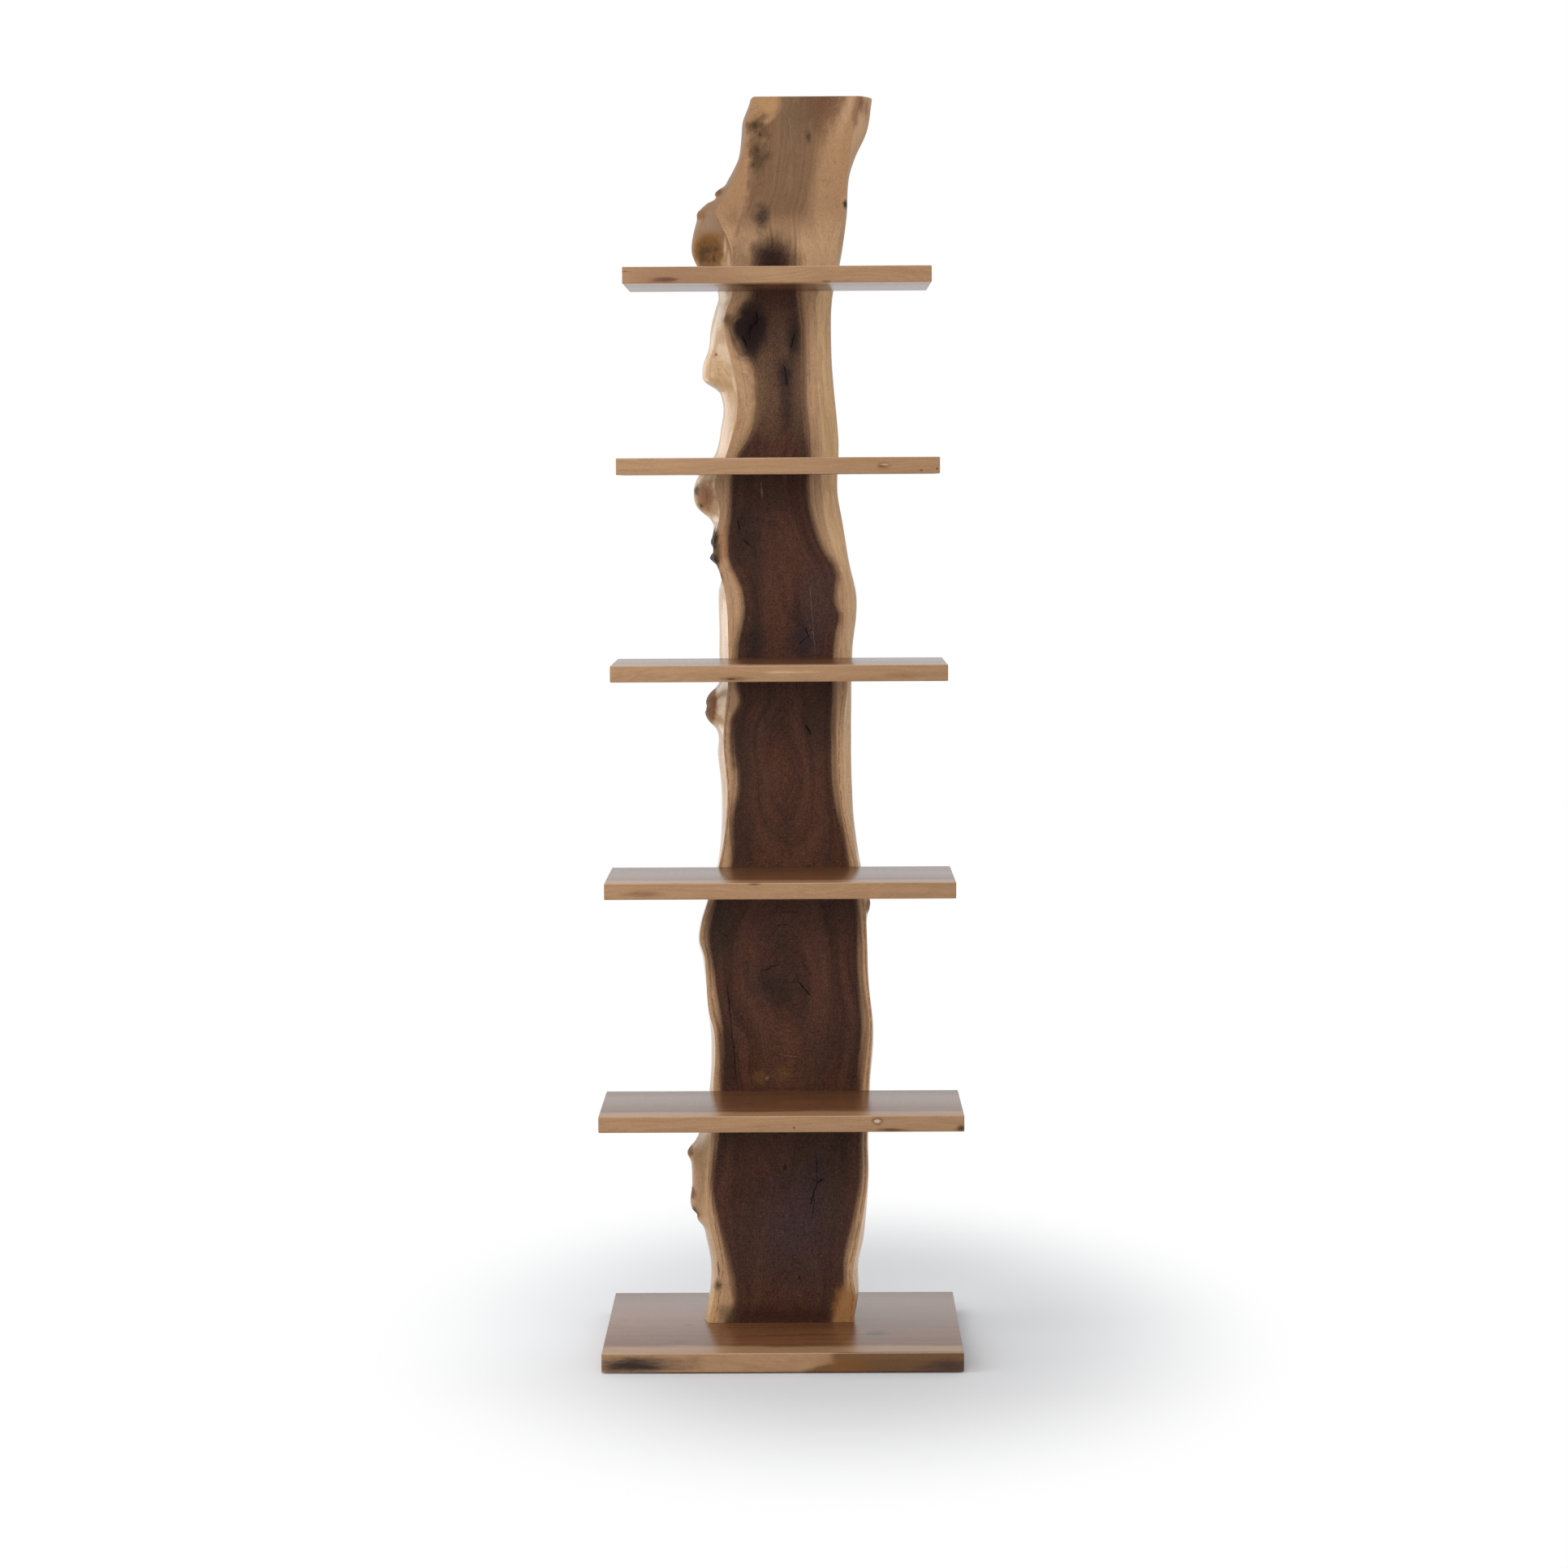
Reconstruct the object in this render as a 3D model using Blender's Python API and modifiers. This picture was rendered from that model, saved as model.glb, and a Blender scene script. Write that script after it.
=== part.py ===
"""Live-edge display shelf: five boards bolted to the front of one upright walnut slab.

Units are metres, +Z is up and the front faces -Y. The origin is on the floor, in the
middle of the object's outline seen from above. Heights named "above the base" start at
the top of the base board.
"""

import math

import bmesh
import bpy
import numpy as np
from mathutils import Matrix, Vector

# Gap between two pieces that touch
CLEARANCE = 0.0003

# Feet and base board
FOOT_DIAMETER = 0.038
FOOT_HEIGHT = 0.0022
FOOT_INSET = 0.040
BASE_WIDTH = 0.6096
BASE_THICKNESS = 0.0325
BASE_IN_FRONT_OF_SLAB = 0.221
BASE_BEHIND_SLAB_FACE = 0.238

# Shelf boards, listed from the top shelf down
SHELF_WIDTHS = (0.508, 0.5334, 0.5588, 0.5842, 0.6096)
CLEAR_HEIGHTS_BELOW = (0.2855, 0.3145, 0.3335, 0.3625, 0.3805)
SHELF_DEPTH = 0.254
SHELF_THICKNESS = 0.0275
EDGE_EASE = 0.0018

# Upright slab
SLAB_THICKNESS = 0.050
SLAB_ABOVE_TOP_SHELF = 0.303
SLAB_TOP_EASE = 0.003
SLAB_ROW_STEP = 0.015
LIVE_EDGE_TURN = math.radians(104)
LIVE_EDGE_STEPS = 4

# The slab's natural edges as (height above the base, x). The face edges bound the flat
# front face, and the outer edges are the furthest reach of the live edge behind it.
OUTER_LEFT = (
    (0.000, -0.139), (0.050, -0.129), (0.097, -0.127), (0.142, -0.135), (0.165, -0.149),
    (0.187, -0.156), (0.255, -0.159), (0.289, -0.164), (0.312, -0.151), (0.413, -0.126),
    (0.492, -0.124), (0.538, -0.128), (0.605, -0.134), (0.639, -0.138), (0.662, -0.144),
    (0.696, -0.141), (0.730, -0.131), (0.797, -0.111), (0.899, -0.103), (0.944, -0.104),
    (0.989, -0.111), (1.034, -0.114), (1.057, -0.129), (1.080, -0.128), (1.102, -0.116),
    (1.170, -0.105), (1.271, -0.106), (1.317, -0.108), (1.328, -0.118), (1.373, -0.111),
    (1.396, -0.118), (1.418, -0.140), (1.441, -0.146), (1.463, -0.143), (1.508, -0.111),
    (1.554, -0.100), (1.599, -0.097), (1.618, -0.104), (1.633, -0.126), (1.655, -0.130),
    (1.689, -0.120), (1.723, -0.117), (1.757, -0.109), (1.779, -0.103), (1.836, -0.136),
    (1.859, -0.149), (1.881, -0.149), (1.926, -0.140), (1.949, -0.112), (1.982, -0.085),
    (2.016, -0.069), (2.061, -0.060), (2.095, -0.055), (2.117, -0.046),
)
FACE_LEFT = (
    (0.000, -0.131), (0.031, -0.124), (0.059, -0.119), (0.087, -0.115), (0.115, -0.116),
    (0.171, -0.127), (0.199, -0.131), (0.241, -0.131), (0.325, -0.124), (0.416, -0.119),
    (0.522, -0.120), (0.536, -0.124), (0.611, -0.131), (0.645, -0.134), (0.668, -0.141),
    (0.701, -0.138), (0.735, -0.128), (0.802, -0.107), (0.914, -0.092), (1.027, -0.098),
    (1.111, -0.090), (1.209, -0.089), (1.251, -0.091), (1.307, -0.103), (1.335, -0.113),
    (1.363, -0.112), (1.405, -0.102), (1.464, -0.109), (1.503, -0.092), (1.545, -0.079),
    (1.573, -0.072), (1.615, -0.071), (1.671, -0.081), (1.714, -0.091), (1.742, -0.091),
    (1.784, -0.078), (1.826, -0.075), (1.882, -0.075), (1.910, -0.082), (1.924, -0.065),
    (1.938, -0.051), (1.966, -0.042), (2.050, -0.046), (2.078, -0.025), (2.099, 0.006),
    (2.117, 0.012),
)
FACE_RIGHT = (
    (0.000, 0.122), (0.044, 0.127), (0.079, 0.121), (0.142, 0.131), (0.198, 0.141),
    (0.254, 0.148), (0.324, 0.147), (0.415, 0.150), (0.521, 0.157), (0.605, 0.150),
    (0.675, 0.148), (0.734, 0.145), (0.801, 0.133), (0.857, 0.120), (0.913, 0.111),
    (0.969, 0.108), (1.054, 0.110), (1.110, 0.115), (1.166, 0.112), (1.236, 0.117),
    (1.292, 0.113), (1.334, 0.096), (1.390, 0.080), (1.463, 0.072), (1.544, 0.074),
    (1.601, 0.068), (1.727, 0.066), (1.783, 0.068), (1.825, 0.097), (1.867, 0.103),
    (1.923, 0.111), (1.986, 0.115), (2.042, 0.127), (2.117, 0.127),
)
OUTER_RIGHT = (
    (0.000, 0.124), (0.051, 0.131), (0.096, 0.131), (0.141, 0.141), (0.186, 0.146),
    (0.254, 0.150), (0.311, 0.148), (0.412, 0.152), (0.514, 0.159), (0.582, 0.151),
    (0.694, 0.148), (0.728, 0.153), (0.807, 0.136), (0.875, 0.127), (0.988, 0.123),
    (1.169, 0.125), (1.270, 0.132), (1.315, 0.122), (1.394, 0.108), (1.440, 0.101),
    (1.530, 0.103), (1.632, 0.095), (1.688, 0.091), (1.778, 0.093), (1.835, 0.106),
    (1.914, 0.118), (1.992, 0.125), (2.015, 0.133), (2.060, 0.154), (2.117, 0.163),
)

# Socket-head bolts, with their washers and the recesses that hide them
BOLT_DIAMETER = 0.008
BOLT_HEAD_DIAMETER = 0.013
BOLT_HEAD_HEIGHT = 0.008
BOLT_SOCKET_WIDTH = 0.006
BOLT_SOCKET_DEPTH = 0.004
BOLT_HOLE_PLAY = 0.0005
WASHER_DIAMETER = 0.016
WASHER_THICKNESS = 0.0016
COUNTERBORE_DIAMETER = 0.020
SLAB_COUNTERBORE_DEPTH = 0.022
BASE_COUNTERBORE_DEPTH = 0.014

# Threaded inserts in the shelves' back edges
INSERT_DIAMETER = 0.012
INSERT_LENGTH = 0.025
INSERT_HOLE_SPARE = 0.003
BOLT_REACH_IN_INSERT = 0.022

# Dowels that keep each board from turning
DOWEL_DIAMETER = 0.010
DOWEL_LENGTH = 0.040

# Places of the fasteners, from the middle of the slab's face at their height
SHELF_BOLT_SPACING = 0.110
SHELF_DOWEL_SPACING = 0.050
BASE_BOLT_SPACING = 0.150
BASE_DOWEL_SPACING = 0.075

# Barrel nuts across the slab that take the bolts of the base board
BARREL_DIAMETER = 0.014
BARREL_LENGTH = 0.024
BARREL_HEIGHT = 0.060
BARREL_BOLT_SPARE = 0.004

# Sides of the round pieces and holes
SHAFT_SIDES = 12
HEAD_SIDES = 16
FOOT_SIDES = 24

# Directions along which rods and holes are made
UP = (0, 0, 1)
DOWN = (0, 0, -1)
BACKWARDS = (0, 1, 0)
FORWARDS = (0, -1, 0)

# Turns that point a fastener's own +Z at the back, or down
FACING_BACK = (-math.pi / 2, 0.0, 0.0)
FACING_DOWN = (math.pi, 0.0, 0.0)

# Places worked out from the sizes
BASE_BOTTOM = FOOT_HEIGHT + CLEARANCE
BASE_TOP = BASE_BOTTOM + BASE_THICKNESS
SLAB_FACE_Y = (SHELF_DEPTH - BASE_BEHIND_SLAB_FACE) / 2
SLAB_BACK_Y = SLAB_FACE_Y + SLAB_THICKNESS
SLAB_MIDDLE_Y = SLAB_FACE_Y + SLAB_THICKNESS / 2
SHELF_FRONT_Y = SLAB_FACE_Y - SHELF_DEPTH
BASE_FRONT_Y = SLAB_FACE_Y - BASE_IN_FRONT_OF_SLAB
BASE_BACK_Y = SLAB_FACE_Y + BASE_BEHIND_SLAB_FACE
SLAB_BOTTOM = BASE_TOP + CLEARANCE
SLAB_TOP = (
    BASE_TOP + sum(CLEAR_HEIGHTS_BELOW) + len(SHELF_WIDTHS) * SHELF_THICKNESS + SLAB_ABOVE_TOP_SHELF
)

# Colours are linear, each with its roughness and metallic value
WALNUT = ((0.075, 0.040, 0.026, 1.0), 0.38, 0.0)
WALNUT_BOARD = ((0.115, 0.066, 0.042, 1.0), 0.32, 0.0)
BEECH = ((0.52, 0.33, 0.18, 1.0), 0.60, 0.0)
BLACK_STEEL = ((0.035, 0.035, 0.038, 1.0), 0.38, 1.0)
ZINC = ((0.52, 0.53, 0.55, 1.0), 0.32, 1.0)
BRASS = ((0.62, 0.42, 0.14, 1.0), 0.30, 1.0)
FELT = ((0.060, 0.048, 0.040, 1.0), 0.95, 0.0)


def clear_scene():
    """Remove whatever the scene holds."""
    for old in list(bpy.data.objects):
        bpy.data.objects.remove(old, do_unlink=True)


def new_collection(name):
    """Make a collection in the scene."""
    collection = bpy.data.collections.new(name)
    bpy.context.scene.collection.children.link(collection)
    return collection


def new_object(name, bm, collection):
    """Turn a bmesh into an object in a collection."""
    bmesh.ops.recalc_face_normals(bm, faces=bm.faces[:])
    mesh = bpy.data.meshes.new(name)
    bm.to_mesh(mesh)
    bm.free()
    thing = bpy.data.objects.new(name, mesh)
    collection.objects.link(thing)
    return thing


def paint(thing, finish):
    """Give an object its own material from a colour, a roughness and a metallic value."""
    colour, roughness, metallic = finish
    material = bpy.data.materials.new(thing.name + "_finish")
    material.use_nodes = True
    shader = material.node_tree.nodes["Principled BSDF"]
    shader.inputs["Base Color"].default_value = colour
    shader.inputs["Roughness"].default_value = roughness
    shader.inputs["Metallic"].default_value = metallic
    thing.data.materials.append(material)


def add_box(bm, low, high):
    """Add a box between two corners to a bmesh."""
    low = Vector(low)
    high = Vector(high)
    place = Matrix.Translation((low + high) / 2) @ Matrix.Diagonal((*(high - low), 1.0))
    bmesh.ops.create_cube(bm, size=1.0, matrix=place)


def add_rod(bm, start, direction, diameter, length, sides=SHAFT_SIDES):
    """Add a cylinder to a bmesh, from its start along a direction."""
    direction = Vector(direction)
    turn = direction.to_track_quat("Z", "Y").to_matrix().to_4x4()
    middle = Vector(start) + direction * (length / 2)
    bmesh.ops.create_cone(
        bm, cap_ends=True, segments=sides, radius1=diameter / 2, radius2=diameter / 2,
        depth=length, matrix=Matrix.Translation(middle) @ turn,
    )


def cut(thing, cutter):
    """Cut one object out of another with a Boolean modifier that stays live."""
    modifier = thing.modifiers.new("cut_" + cutter.name, "BOOLEAN")
    modifier.operation = "DIFFERENCE"
    modifier.solver = "EXACT"
    modifier.object = cutter
    cutter.hide_render = True
    cutter.display_type = "WIRE"


def turned(name, profile, sides, collection, closed=False):
    """Make a turned piece: a profile of (radius, z), from the top down, spun about Z."""
    bm = bmesh.new()
    points = [bm.verts.new((radius, 0.0, z)) for radius, z in profile]
    for upper, lower in zip(points, points[1:]):
        bm.edges.new((upper, lower))
    if closed:
        bm.edges.new((points[-1], points[0]))
    mesh = bpy.data.meshes.new(name)
    bm.to_mesh(mesh)
    bm.free()
    thing = bpy.data.objects.new(name, mesh)
    collection.objects.link(thing)
    screw = thing.modifiers.new("turn", "SCREW")
    screw.axis = "Z"
    screw.steps = sides
    screw.render_steps = sides
    screw.use_merge_vertices = True
    screw.merge_threshold = 0.00001
    return thing


def edge_at(outline, height):
    """Read a natural edge at a height, on a smooth curve through its points."""
    heights, places = np.array(outline).T
    slopes = np.gradient(places, heights)
    height = min(max(height, heights[0]), heights[-1])
    i = min(max(int(np.searchsorted(heights, height)) - 1, 0), len(heights) - 2)
    span = heights[i + 1] - heights[i]
    t = (height - heights[i]) / span
    start = places[i] * (1 + 2 * t) * (1 - t) ** 2 + slopes[i] * span * t * (1 - t) ** 2
    end = places[i + 1] * t * t * (3 - 2 * t) + slopes[i + 1] * span * t * t * (t - 1)
    return float(start + end)


def slab_section(height, inset):
    """Return the slab's outline at a height, as (x, y) points seen from above."""
    face_left = edge_at(FACE_LEFT, height) + inset
    face_right = edge_at(FACE_RIGHT, height) - inset
    outer_left = edge_at(OUTER_LEFT, height) + inset
    outer_right = edge_at(OUTER_RIGHT, height) - inset
    left = []
    right = []
    for step in range(LIVE_EDGE_STEPS + 1):
        depth = step / LIVE_EDGE_STEPS
        reach = math.sin(LIVE_EDGE_TURN * depth)
        y = SLAB_FACE_Y + inset + (SLAB_THICKNESS - 2 * inset) * depth
        left.append((face_left + (outer_left - face_left) * reach, y))
        right.append((face_right + (outer_right - face_right) * reach, y))
    return right + left[::-1]


def slab_middle(height):
    """Return the x of the middle of the slab's front face at a height."""
    return (edge_at(FACE_LEFT, height) + edge_at(FACE_RIGHT, height)) / 2


def make_slab(parts, holes, recesses):
    """Loft the upright slab through its sections and drill it for the fasteners."""
    bm = bmesh.new()
    eased_top = SLAB_TOP - SLAB_TOP_EASE
    row_count = round((eased_top - SLAB_BOTTOM) / SLAB_ROW_STEP) + 1
    levels = [(z, 0.0) for z in np.linspace(SLAB_BOTTOM, eased_top, row_count)]
    levels.append((SLAB_TOP, SLAB_TOP_EASE))
    rows = []
    for z, inset in levels:
        section = slab_section(z - BASE_TOP, inset)
        rows.append([bm.verts.new((x, y, z)) for x, y in section])
    for lower, upper in zip(rows, rows[1:]):
        for i in range(len(lower)):
            bm.faces.new((lower[i - 1], lower[i], upper[i], upper[i - 1]))
    bm.faces.new(rows[0])
    bm.faces.new(rows[-1])
    slab = new_object("spine_slab", bm, parts)
    paint(slab, WALNUT)
    cut(slab, holes)
    cut(slab, recesses)


def make_board(name, low, high, parts):
    """Make a board with eased edges."""
    bm = bmesh.new()
    add_box(bm, low, high)
    board = new_object(name, bm, parts)
    ease = board.modifiers.new("eased_edges", "BEVEL")
    ease.width = EDGE_EASE
    ease.segments = 2
    paint(board, WALNUT_BOARD)
    return board


def make_bolt(name, place, turn, length, parts, cutters):
    """Make a socket-head bolt, whose head points along its own +Z."""
    bolt = turned(name, (
        (0.0, BOLT_HEAD_HEIGHT),
        (BOLT_HEAD_DIAMETER / 2, BOLT_HEAD_HEIGHT),
        (BOLT_HEAD_DIAMETER / 2, 0.0),
        (BOLT_DIAMETER / 2, 0.0),
        (BOLT_DIAMETER / 2, -length),
        (0.0, -length),
    ), SHAFT_SIDES, parts)
    bm = bmesh.new()
    socket_bottom = (0.0, 0.0, BOLT_HEAD_HEIGHT - BOLT_SOCKET_DEPTH)
    corner_to_corner = BOLT_SOCKET_WIDTH / math.cos(math.pi / 6)
    add_rod(bm, socket_bottom, UP, corner_to_corner, 2 * BOLT_SOCKET_DEPTH, sides=6)
    socket = new_object(name + "_socket_cutter", bm, cutters)
    for thing in (bolt, socket):
        thing.location = place
        thing.rotation_euler = turn
    cut(bolt, socket)
    paint(bolt, BLACK_STEEL)


def make_ring(name, place, turn, outer, length, finish, parts):
    """Make a ring round a bolt, such as a washer, from z = 0 up along its own axis."""
    inner = BOLT_DIAMETER + 2 * CLEARANCE
    ring = turned(name, (
        (inner / 2, length),
        (outer / 2, length),
        (outer / 2, 0.0),
        (inner / 2, 0.0),
    ), SHAFT_SIDES, parts, closed=True)
    ring.location = place
    ring.rotation_euler = turn
    paint(ring, finish)


def make_dowel(name, start, direction, parts):
    """Make a dowel from its start along a direction."""
    bm = bmesh.new()
    add_rod(bm, start, direction, DOWEL_DIAMETER, DOWEL_LENGTH)
    paint(new_object(name, bm, parts), BEECH)


def pair_about(middle, spacing):
    """Return the side and the x of each of a pair of fasteners about a middle."""
    return (("left", middle - spacing / 2), ("right", middle + spacing / 2))


def make_shelf(number, width, top, parts, cutters, slab_holes, slab_recesses):
    """Make one shelf board with the fasteners that hold it to the slab."""
    name = "shelf_%d" % number
    middle_z = top - SHELF_THICKNESS / 2
    middle_x = slab_middle(middle_z - BASE_TOP)
    back = SLAB_FACE_Y - CLEARANCE
    board = make_board(
        name + "_board",
        (-width / 2, SHELF_FRONT_Y, top - SHELF_THICKNESS),
        (width / 2, back, top),
        parts,
    )
    recess_floor = SLAB_BACK_Y - SLAB_COUNTERBORE_DEPTH
    washer_y = recess_floor + CLEARANCE
    head_y = washer_y + WASHER_THICKNESS + CLEARANCE
    bolt_length = head_y - back + BOLT_REACH_IN_INSERT
    insert_y = back - CLEARANCE - INSERT_LENGTH
    insert_hole = INSERT_LENGTH + INSERT_HOLE_SPARE
    dowel_y = (back + SLAB_FACE_Y) / 2 - DOWEL_LENGTH / 2
    dowel_hole = DOWEL_LENGTH / 2 + 2 * CLEARANCE
    overshoot = SHELF_THICKNESS
    board_holes = bmesh.new()
    for side, x in pair_about(middle_x, SHELF_BOLT_SPACING):
        make_bolt("%s_bolt_%s" % (name, side), (x, head_y, middle_z), FACING_BACK,
                  bolt_length, parts, cutters)
        make_ring("%s_washer_%s" % (name, side), (x, washer_y, middle_z), FACING_BACK,
                  WASHER_DIAMETER, WASHER_THICKNESS, ZINC, parts)
        make_ring("%s_insert_%s" % (name, side), (x, insert_y, middle_z), FACING_BACK,
                  INSERT_DIAMETER, INSERT_LENGTH, BRASS, parts)
        add_rod(board_holes, (x, back + overshoot, middle_z), FORWARDS,
                INSERT_DIAMETER + 2 * CLEARANCE, insert_hole + overshoot)
        add_rod(slab_holes, (x, SLAB_FACE_Y - overshoot, middle_z), BACKWARDS,
                BOLT_DIAMETER + 2 * BOLT_HOLE_PLAY, SLAB_THICKNESS + 2 * overshoot)
        add_rod(slab_recesses, (x, recess_floor, middle_z), BACKWARDS,
                COUNTERBORE_DIAMETER, SLAB_COUNTERBORE_DEPTH + overshoot, HEAD_SIDES)
    for side, x in pair_about(middle_x, SHELF_DOWEL_SPACING):
        make_dowel("%s_dowel_%s" % (name, side), (x, dowel_y, middle_z), BACKWARDS, parts)
        add_rod(board_holes, (x, back + overshoot, middle_z), FORWARDS,
                DOWEL_DIAMETER + 2 * CLEARANCE, dowel_hole + overshoot)
        add_rod(slab_holes, (x, SLAB_FACE_Y - overshoot, middle_z), BACKWARDS,
                DOWEL_DIAMETER + 2 * CLEARANCE, dowel_hole + overshoot)
    cut(board, new_object(name + "_hole_cutter", board_holes, cutters))


def make_barrel_nut(name, x, z, parts, cutters):
    """Make a steel barrel nut across the slab, with the cross hole for its bolt."""
    nut = bmesh.new()
    add_rod(nut, (x, SLAB_MIDDLE_Y - BARREL_LENGTH / 2, z), BACKWARDS,
            BARREL_DIAMETER, BARREL_LENGTH)
    nut = new_object(name, nut, parts)
    paint(nut, ZINC)
    hole = bmesh.new()
    add_rod(hole, (x, SLAB_MIDDLE_Y, z - BARREL_DIAMETER), UP,
            BOLT_DIAMETER + 2 * CLEARANCE, 2 * BARREL_DIAMETER)
    cut(nut, new_object(name + "_cutter", hole, cutters))


def make_base(parts, cutters, slab_holes, slab_recesses):
    """Make the base board with the fasteners that hold the slab upright on it."""
    board = make_board(
        "base_board",
        (-BASE_WIDTH / 2, BASE_FRONT_Y, BASE_BOTTOM),
        (BASE_WIDTH / 2, BASE_BACK_Y, BASE_TOP),
        parts,
    )
    middle_x = slab_middle(0.0)
    recess_top = BASE_BOTTOM + BASE_COUNTERBORE_DEPTH
    washer_z = recess_top - CLEARANCE
    head_z = washer_z - WASHER_THICKNESS - CLEARANCE
    barrel_z = BASE_TOP + BARREL_HEIGHT
    bolt_top = barrel_z + BARREL_DIAMETER / 2 + BARREL_BOLT_SPARE
    barrel_hole_end = SLAB_MIDDLE_Y - BARREL_LENGTH / 2 - CLEARANCE
    dowel_z = (BASE_TOP + SLAB_BOTTOM) / 2 - DOWEL_LENGTH / 2
    dowel_hole = DOWEL_LENGTH / 2 + 2 * CLEARANCE
    overshoot = BASE_THICKNESS
    base_holes = bmesh.new()
    base_recesses = bmesh.new()
    for side, x in pair_about(middle_x, BASE_BOLT_SPACING):
        make_bolt("base_bolt_" + side, (x, SLAB_MIDDLE_Y, head_z), FACING_DOWN,
                  bolt_top - head_z, parts, cutters)
        make_ring("base_washer_" + side, (x, SLAB_MIDDLE_Y, washer_z), FACING_DOWN,
                  WASHER_DIAMETER, WASHER_THICKNESS, ZINC, parts)
        make_barrel_nut("base_barrel_nut_" + side, x, barrel_z, parts, cutters)
        add_rod(base_holes, (x, SLAB_MIDDLE_Y, BASE_BOTTOM - overshoot), UP,
                BOLT_DIAMETER + 2 * BOLT_HOLE_PLAY, BASE_THICKNESS + 2 * overshoot)
        add_rod(base_recesses, (x, SLAB_MIDDLE_Y, recess_top), DOWN,
                COUNTERBORE_DIAMETER, BASE_COUNTERBORE_DEPTH + overshoot, HEAD_SIDES)
        add_rod(slab_holes, (x, SLAB_MIDDLE_Y, SLAB_BOTTOM - overshoot), UP,
                BOLT_DIAMETER + 2 * BOLT_HOLE_PLAY, bolt_top + CLEARANCE - SLAB_BOTTOM + overshoot)
        add_rod(slab_recesses, (x, SLAB_BACK_Y + overshoot, barrel_z), FORWARDS,
                BARREL_DIAMETER + 2 * CLEARANCE, SLAB_BACK_Y + overshoot - barrel_hole_end)
    for side, x in pair_about(middle_x, BASE_DOWEL_SPACING):
        make_dowel("base_dowel_" + side, (x, SLAB_MIDDLE_Y, dowel_z), UP, parts)
        add_rod(base_holes, (x, SLAB_MIDDLE_Y, BASE_TOP + overshoot), DOWN,
                DOWEL_DIAMETER + 2 * CLEARANCE, dowel_hole + overshoot)
        add_rod(slab_holes, (x, SLAB_MIDDLE_Y, SLAB_BOTTOM - overshoot), UP,
                DOWEL_DIAMETER + 2 * CLEARANCE, dowel_hole + overshoot)
    cut(board, new_object("base_hole_cutter", base_holes, cutters))
    cut(board, new_object("base_recess_cutter", base_recesses, cutters))


def make_feet(parts):
    """Make the four low felt pads under the corners of the base board."""
    ends_x = {"left": FOOT_INSET - BASE_WIDTH / 2, "right": BASE_WIDTH / 2 - FOOT_INSET}
    ends_y = {"front": BASE_FRONT_Y + FOOT_INSET, "back": BASE_BACK_Y - FOOT_INSET}
    for end, y in ends_y.items():
        for side, x in ends_x.items():
            bm = bmesh.new()
            add_rod(bm, (x, y, 0.0), UP, FOOT_DIAMETER, FOOT_HEIGHT, FOOT_SIDES)
            foot = new_object("foot_%s_%s" % (end, side), bm, parts)
            paint(foot, FELT)


def main():
    clear_scene()
    parts = new_collection("display_shelf")
    cutters = new_collection("cutters")
    slab_holes = bmesh.new()
    slab_recesses = bmesh.new()
    top = SLAB_TOP - SLAB_ABOVE_TOP_SHELF
    for number, width in enumerate(SHELF_WIDTHS, start=1):
        make_shelf(number, width, top, parts, cutters, slab_holes, slab_recesses)
        top -= SHELF_THICKNESS + CLEAR_HEIGHTS_BELOW[number - 1]
    make_base(parts, cutters, slab_holes, slab_recesses)
    make_feet(parts)
    make_slab(
        parts,
        new_object("slab_hole_cutter", slab_holes, cutters),
        new_object("slab_recess_cutter", slab_recesses, cutters),
    )


main()
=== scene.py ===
# %% [markdown]
# # A live-edge display shelf
# Five walnut boards hang on the front of one upright walnut slab, which stands on a walnut
# base board. The slab keeps the natural outline of the log: its bark is gone, and the skin
# of the tree, with its burls and hollows, is left as it grew. This lesson builds the looks
# of that shelf round a frame that already holds the true sizes.

# %% The frame
import math

import bmesh
import bpy
import numpy as np
from mathutils import Matrix, Vector, noise


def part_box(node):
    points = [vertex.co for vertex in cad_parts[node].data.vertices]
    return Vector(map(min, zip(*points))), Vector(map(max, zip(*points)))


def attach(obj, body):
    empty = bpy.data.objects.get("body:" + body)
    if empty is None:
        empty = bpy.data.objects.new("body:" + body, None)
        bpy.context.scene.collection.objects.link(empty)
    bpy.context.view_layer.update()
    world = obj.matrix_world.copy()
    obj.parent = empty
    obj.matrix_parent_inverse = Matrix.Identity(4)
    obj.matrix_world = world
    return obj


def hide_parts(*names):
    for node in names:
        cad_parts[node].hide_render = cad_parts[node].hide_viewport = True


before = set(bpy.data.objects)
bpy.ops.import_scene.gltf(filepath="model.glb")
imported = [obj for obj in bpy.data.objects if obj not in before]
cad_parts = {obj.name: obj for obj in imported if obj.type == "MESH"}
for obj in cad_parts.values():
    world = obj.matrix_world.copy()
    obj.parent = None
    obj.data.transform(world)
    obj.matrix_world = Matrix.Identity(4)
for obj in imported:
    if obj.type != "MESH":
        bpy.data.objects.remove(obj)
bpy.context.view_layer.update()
plain = {slot.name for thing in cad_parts.values() for slot in thing.material_slots}
print("its plain materials, to be replaced:", sorted(plain))

# %% [markdown]
# ## The camera
# The picture was taken from straight in front, at about chest height, with a long lens. A
# level camera with a large shift would show the same, but a large shift cuts off the top of
# the slab when the shelf is seen from elsewhere. So this one looks down a little and has a
# small shift. Its angles are written the way a photographer would set a tripod head: pan,
# tilt and roll.

# %% Camera
CAMERA_PLACE = (0.0453, -6.1529, 1.4840)
CAMERA_PAN_LEFT = math.radians(-0.3611)
CAMERA_TILT_DOWN = math.radians(3.7069)
CAMERA_ROLL = math.radians(0.2970)
CAMERA_LENS = 82.270
CAMERA_SHIFT_UP = -0.04


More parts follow.
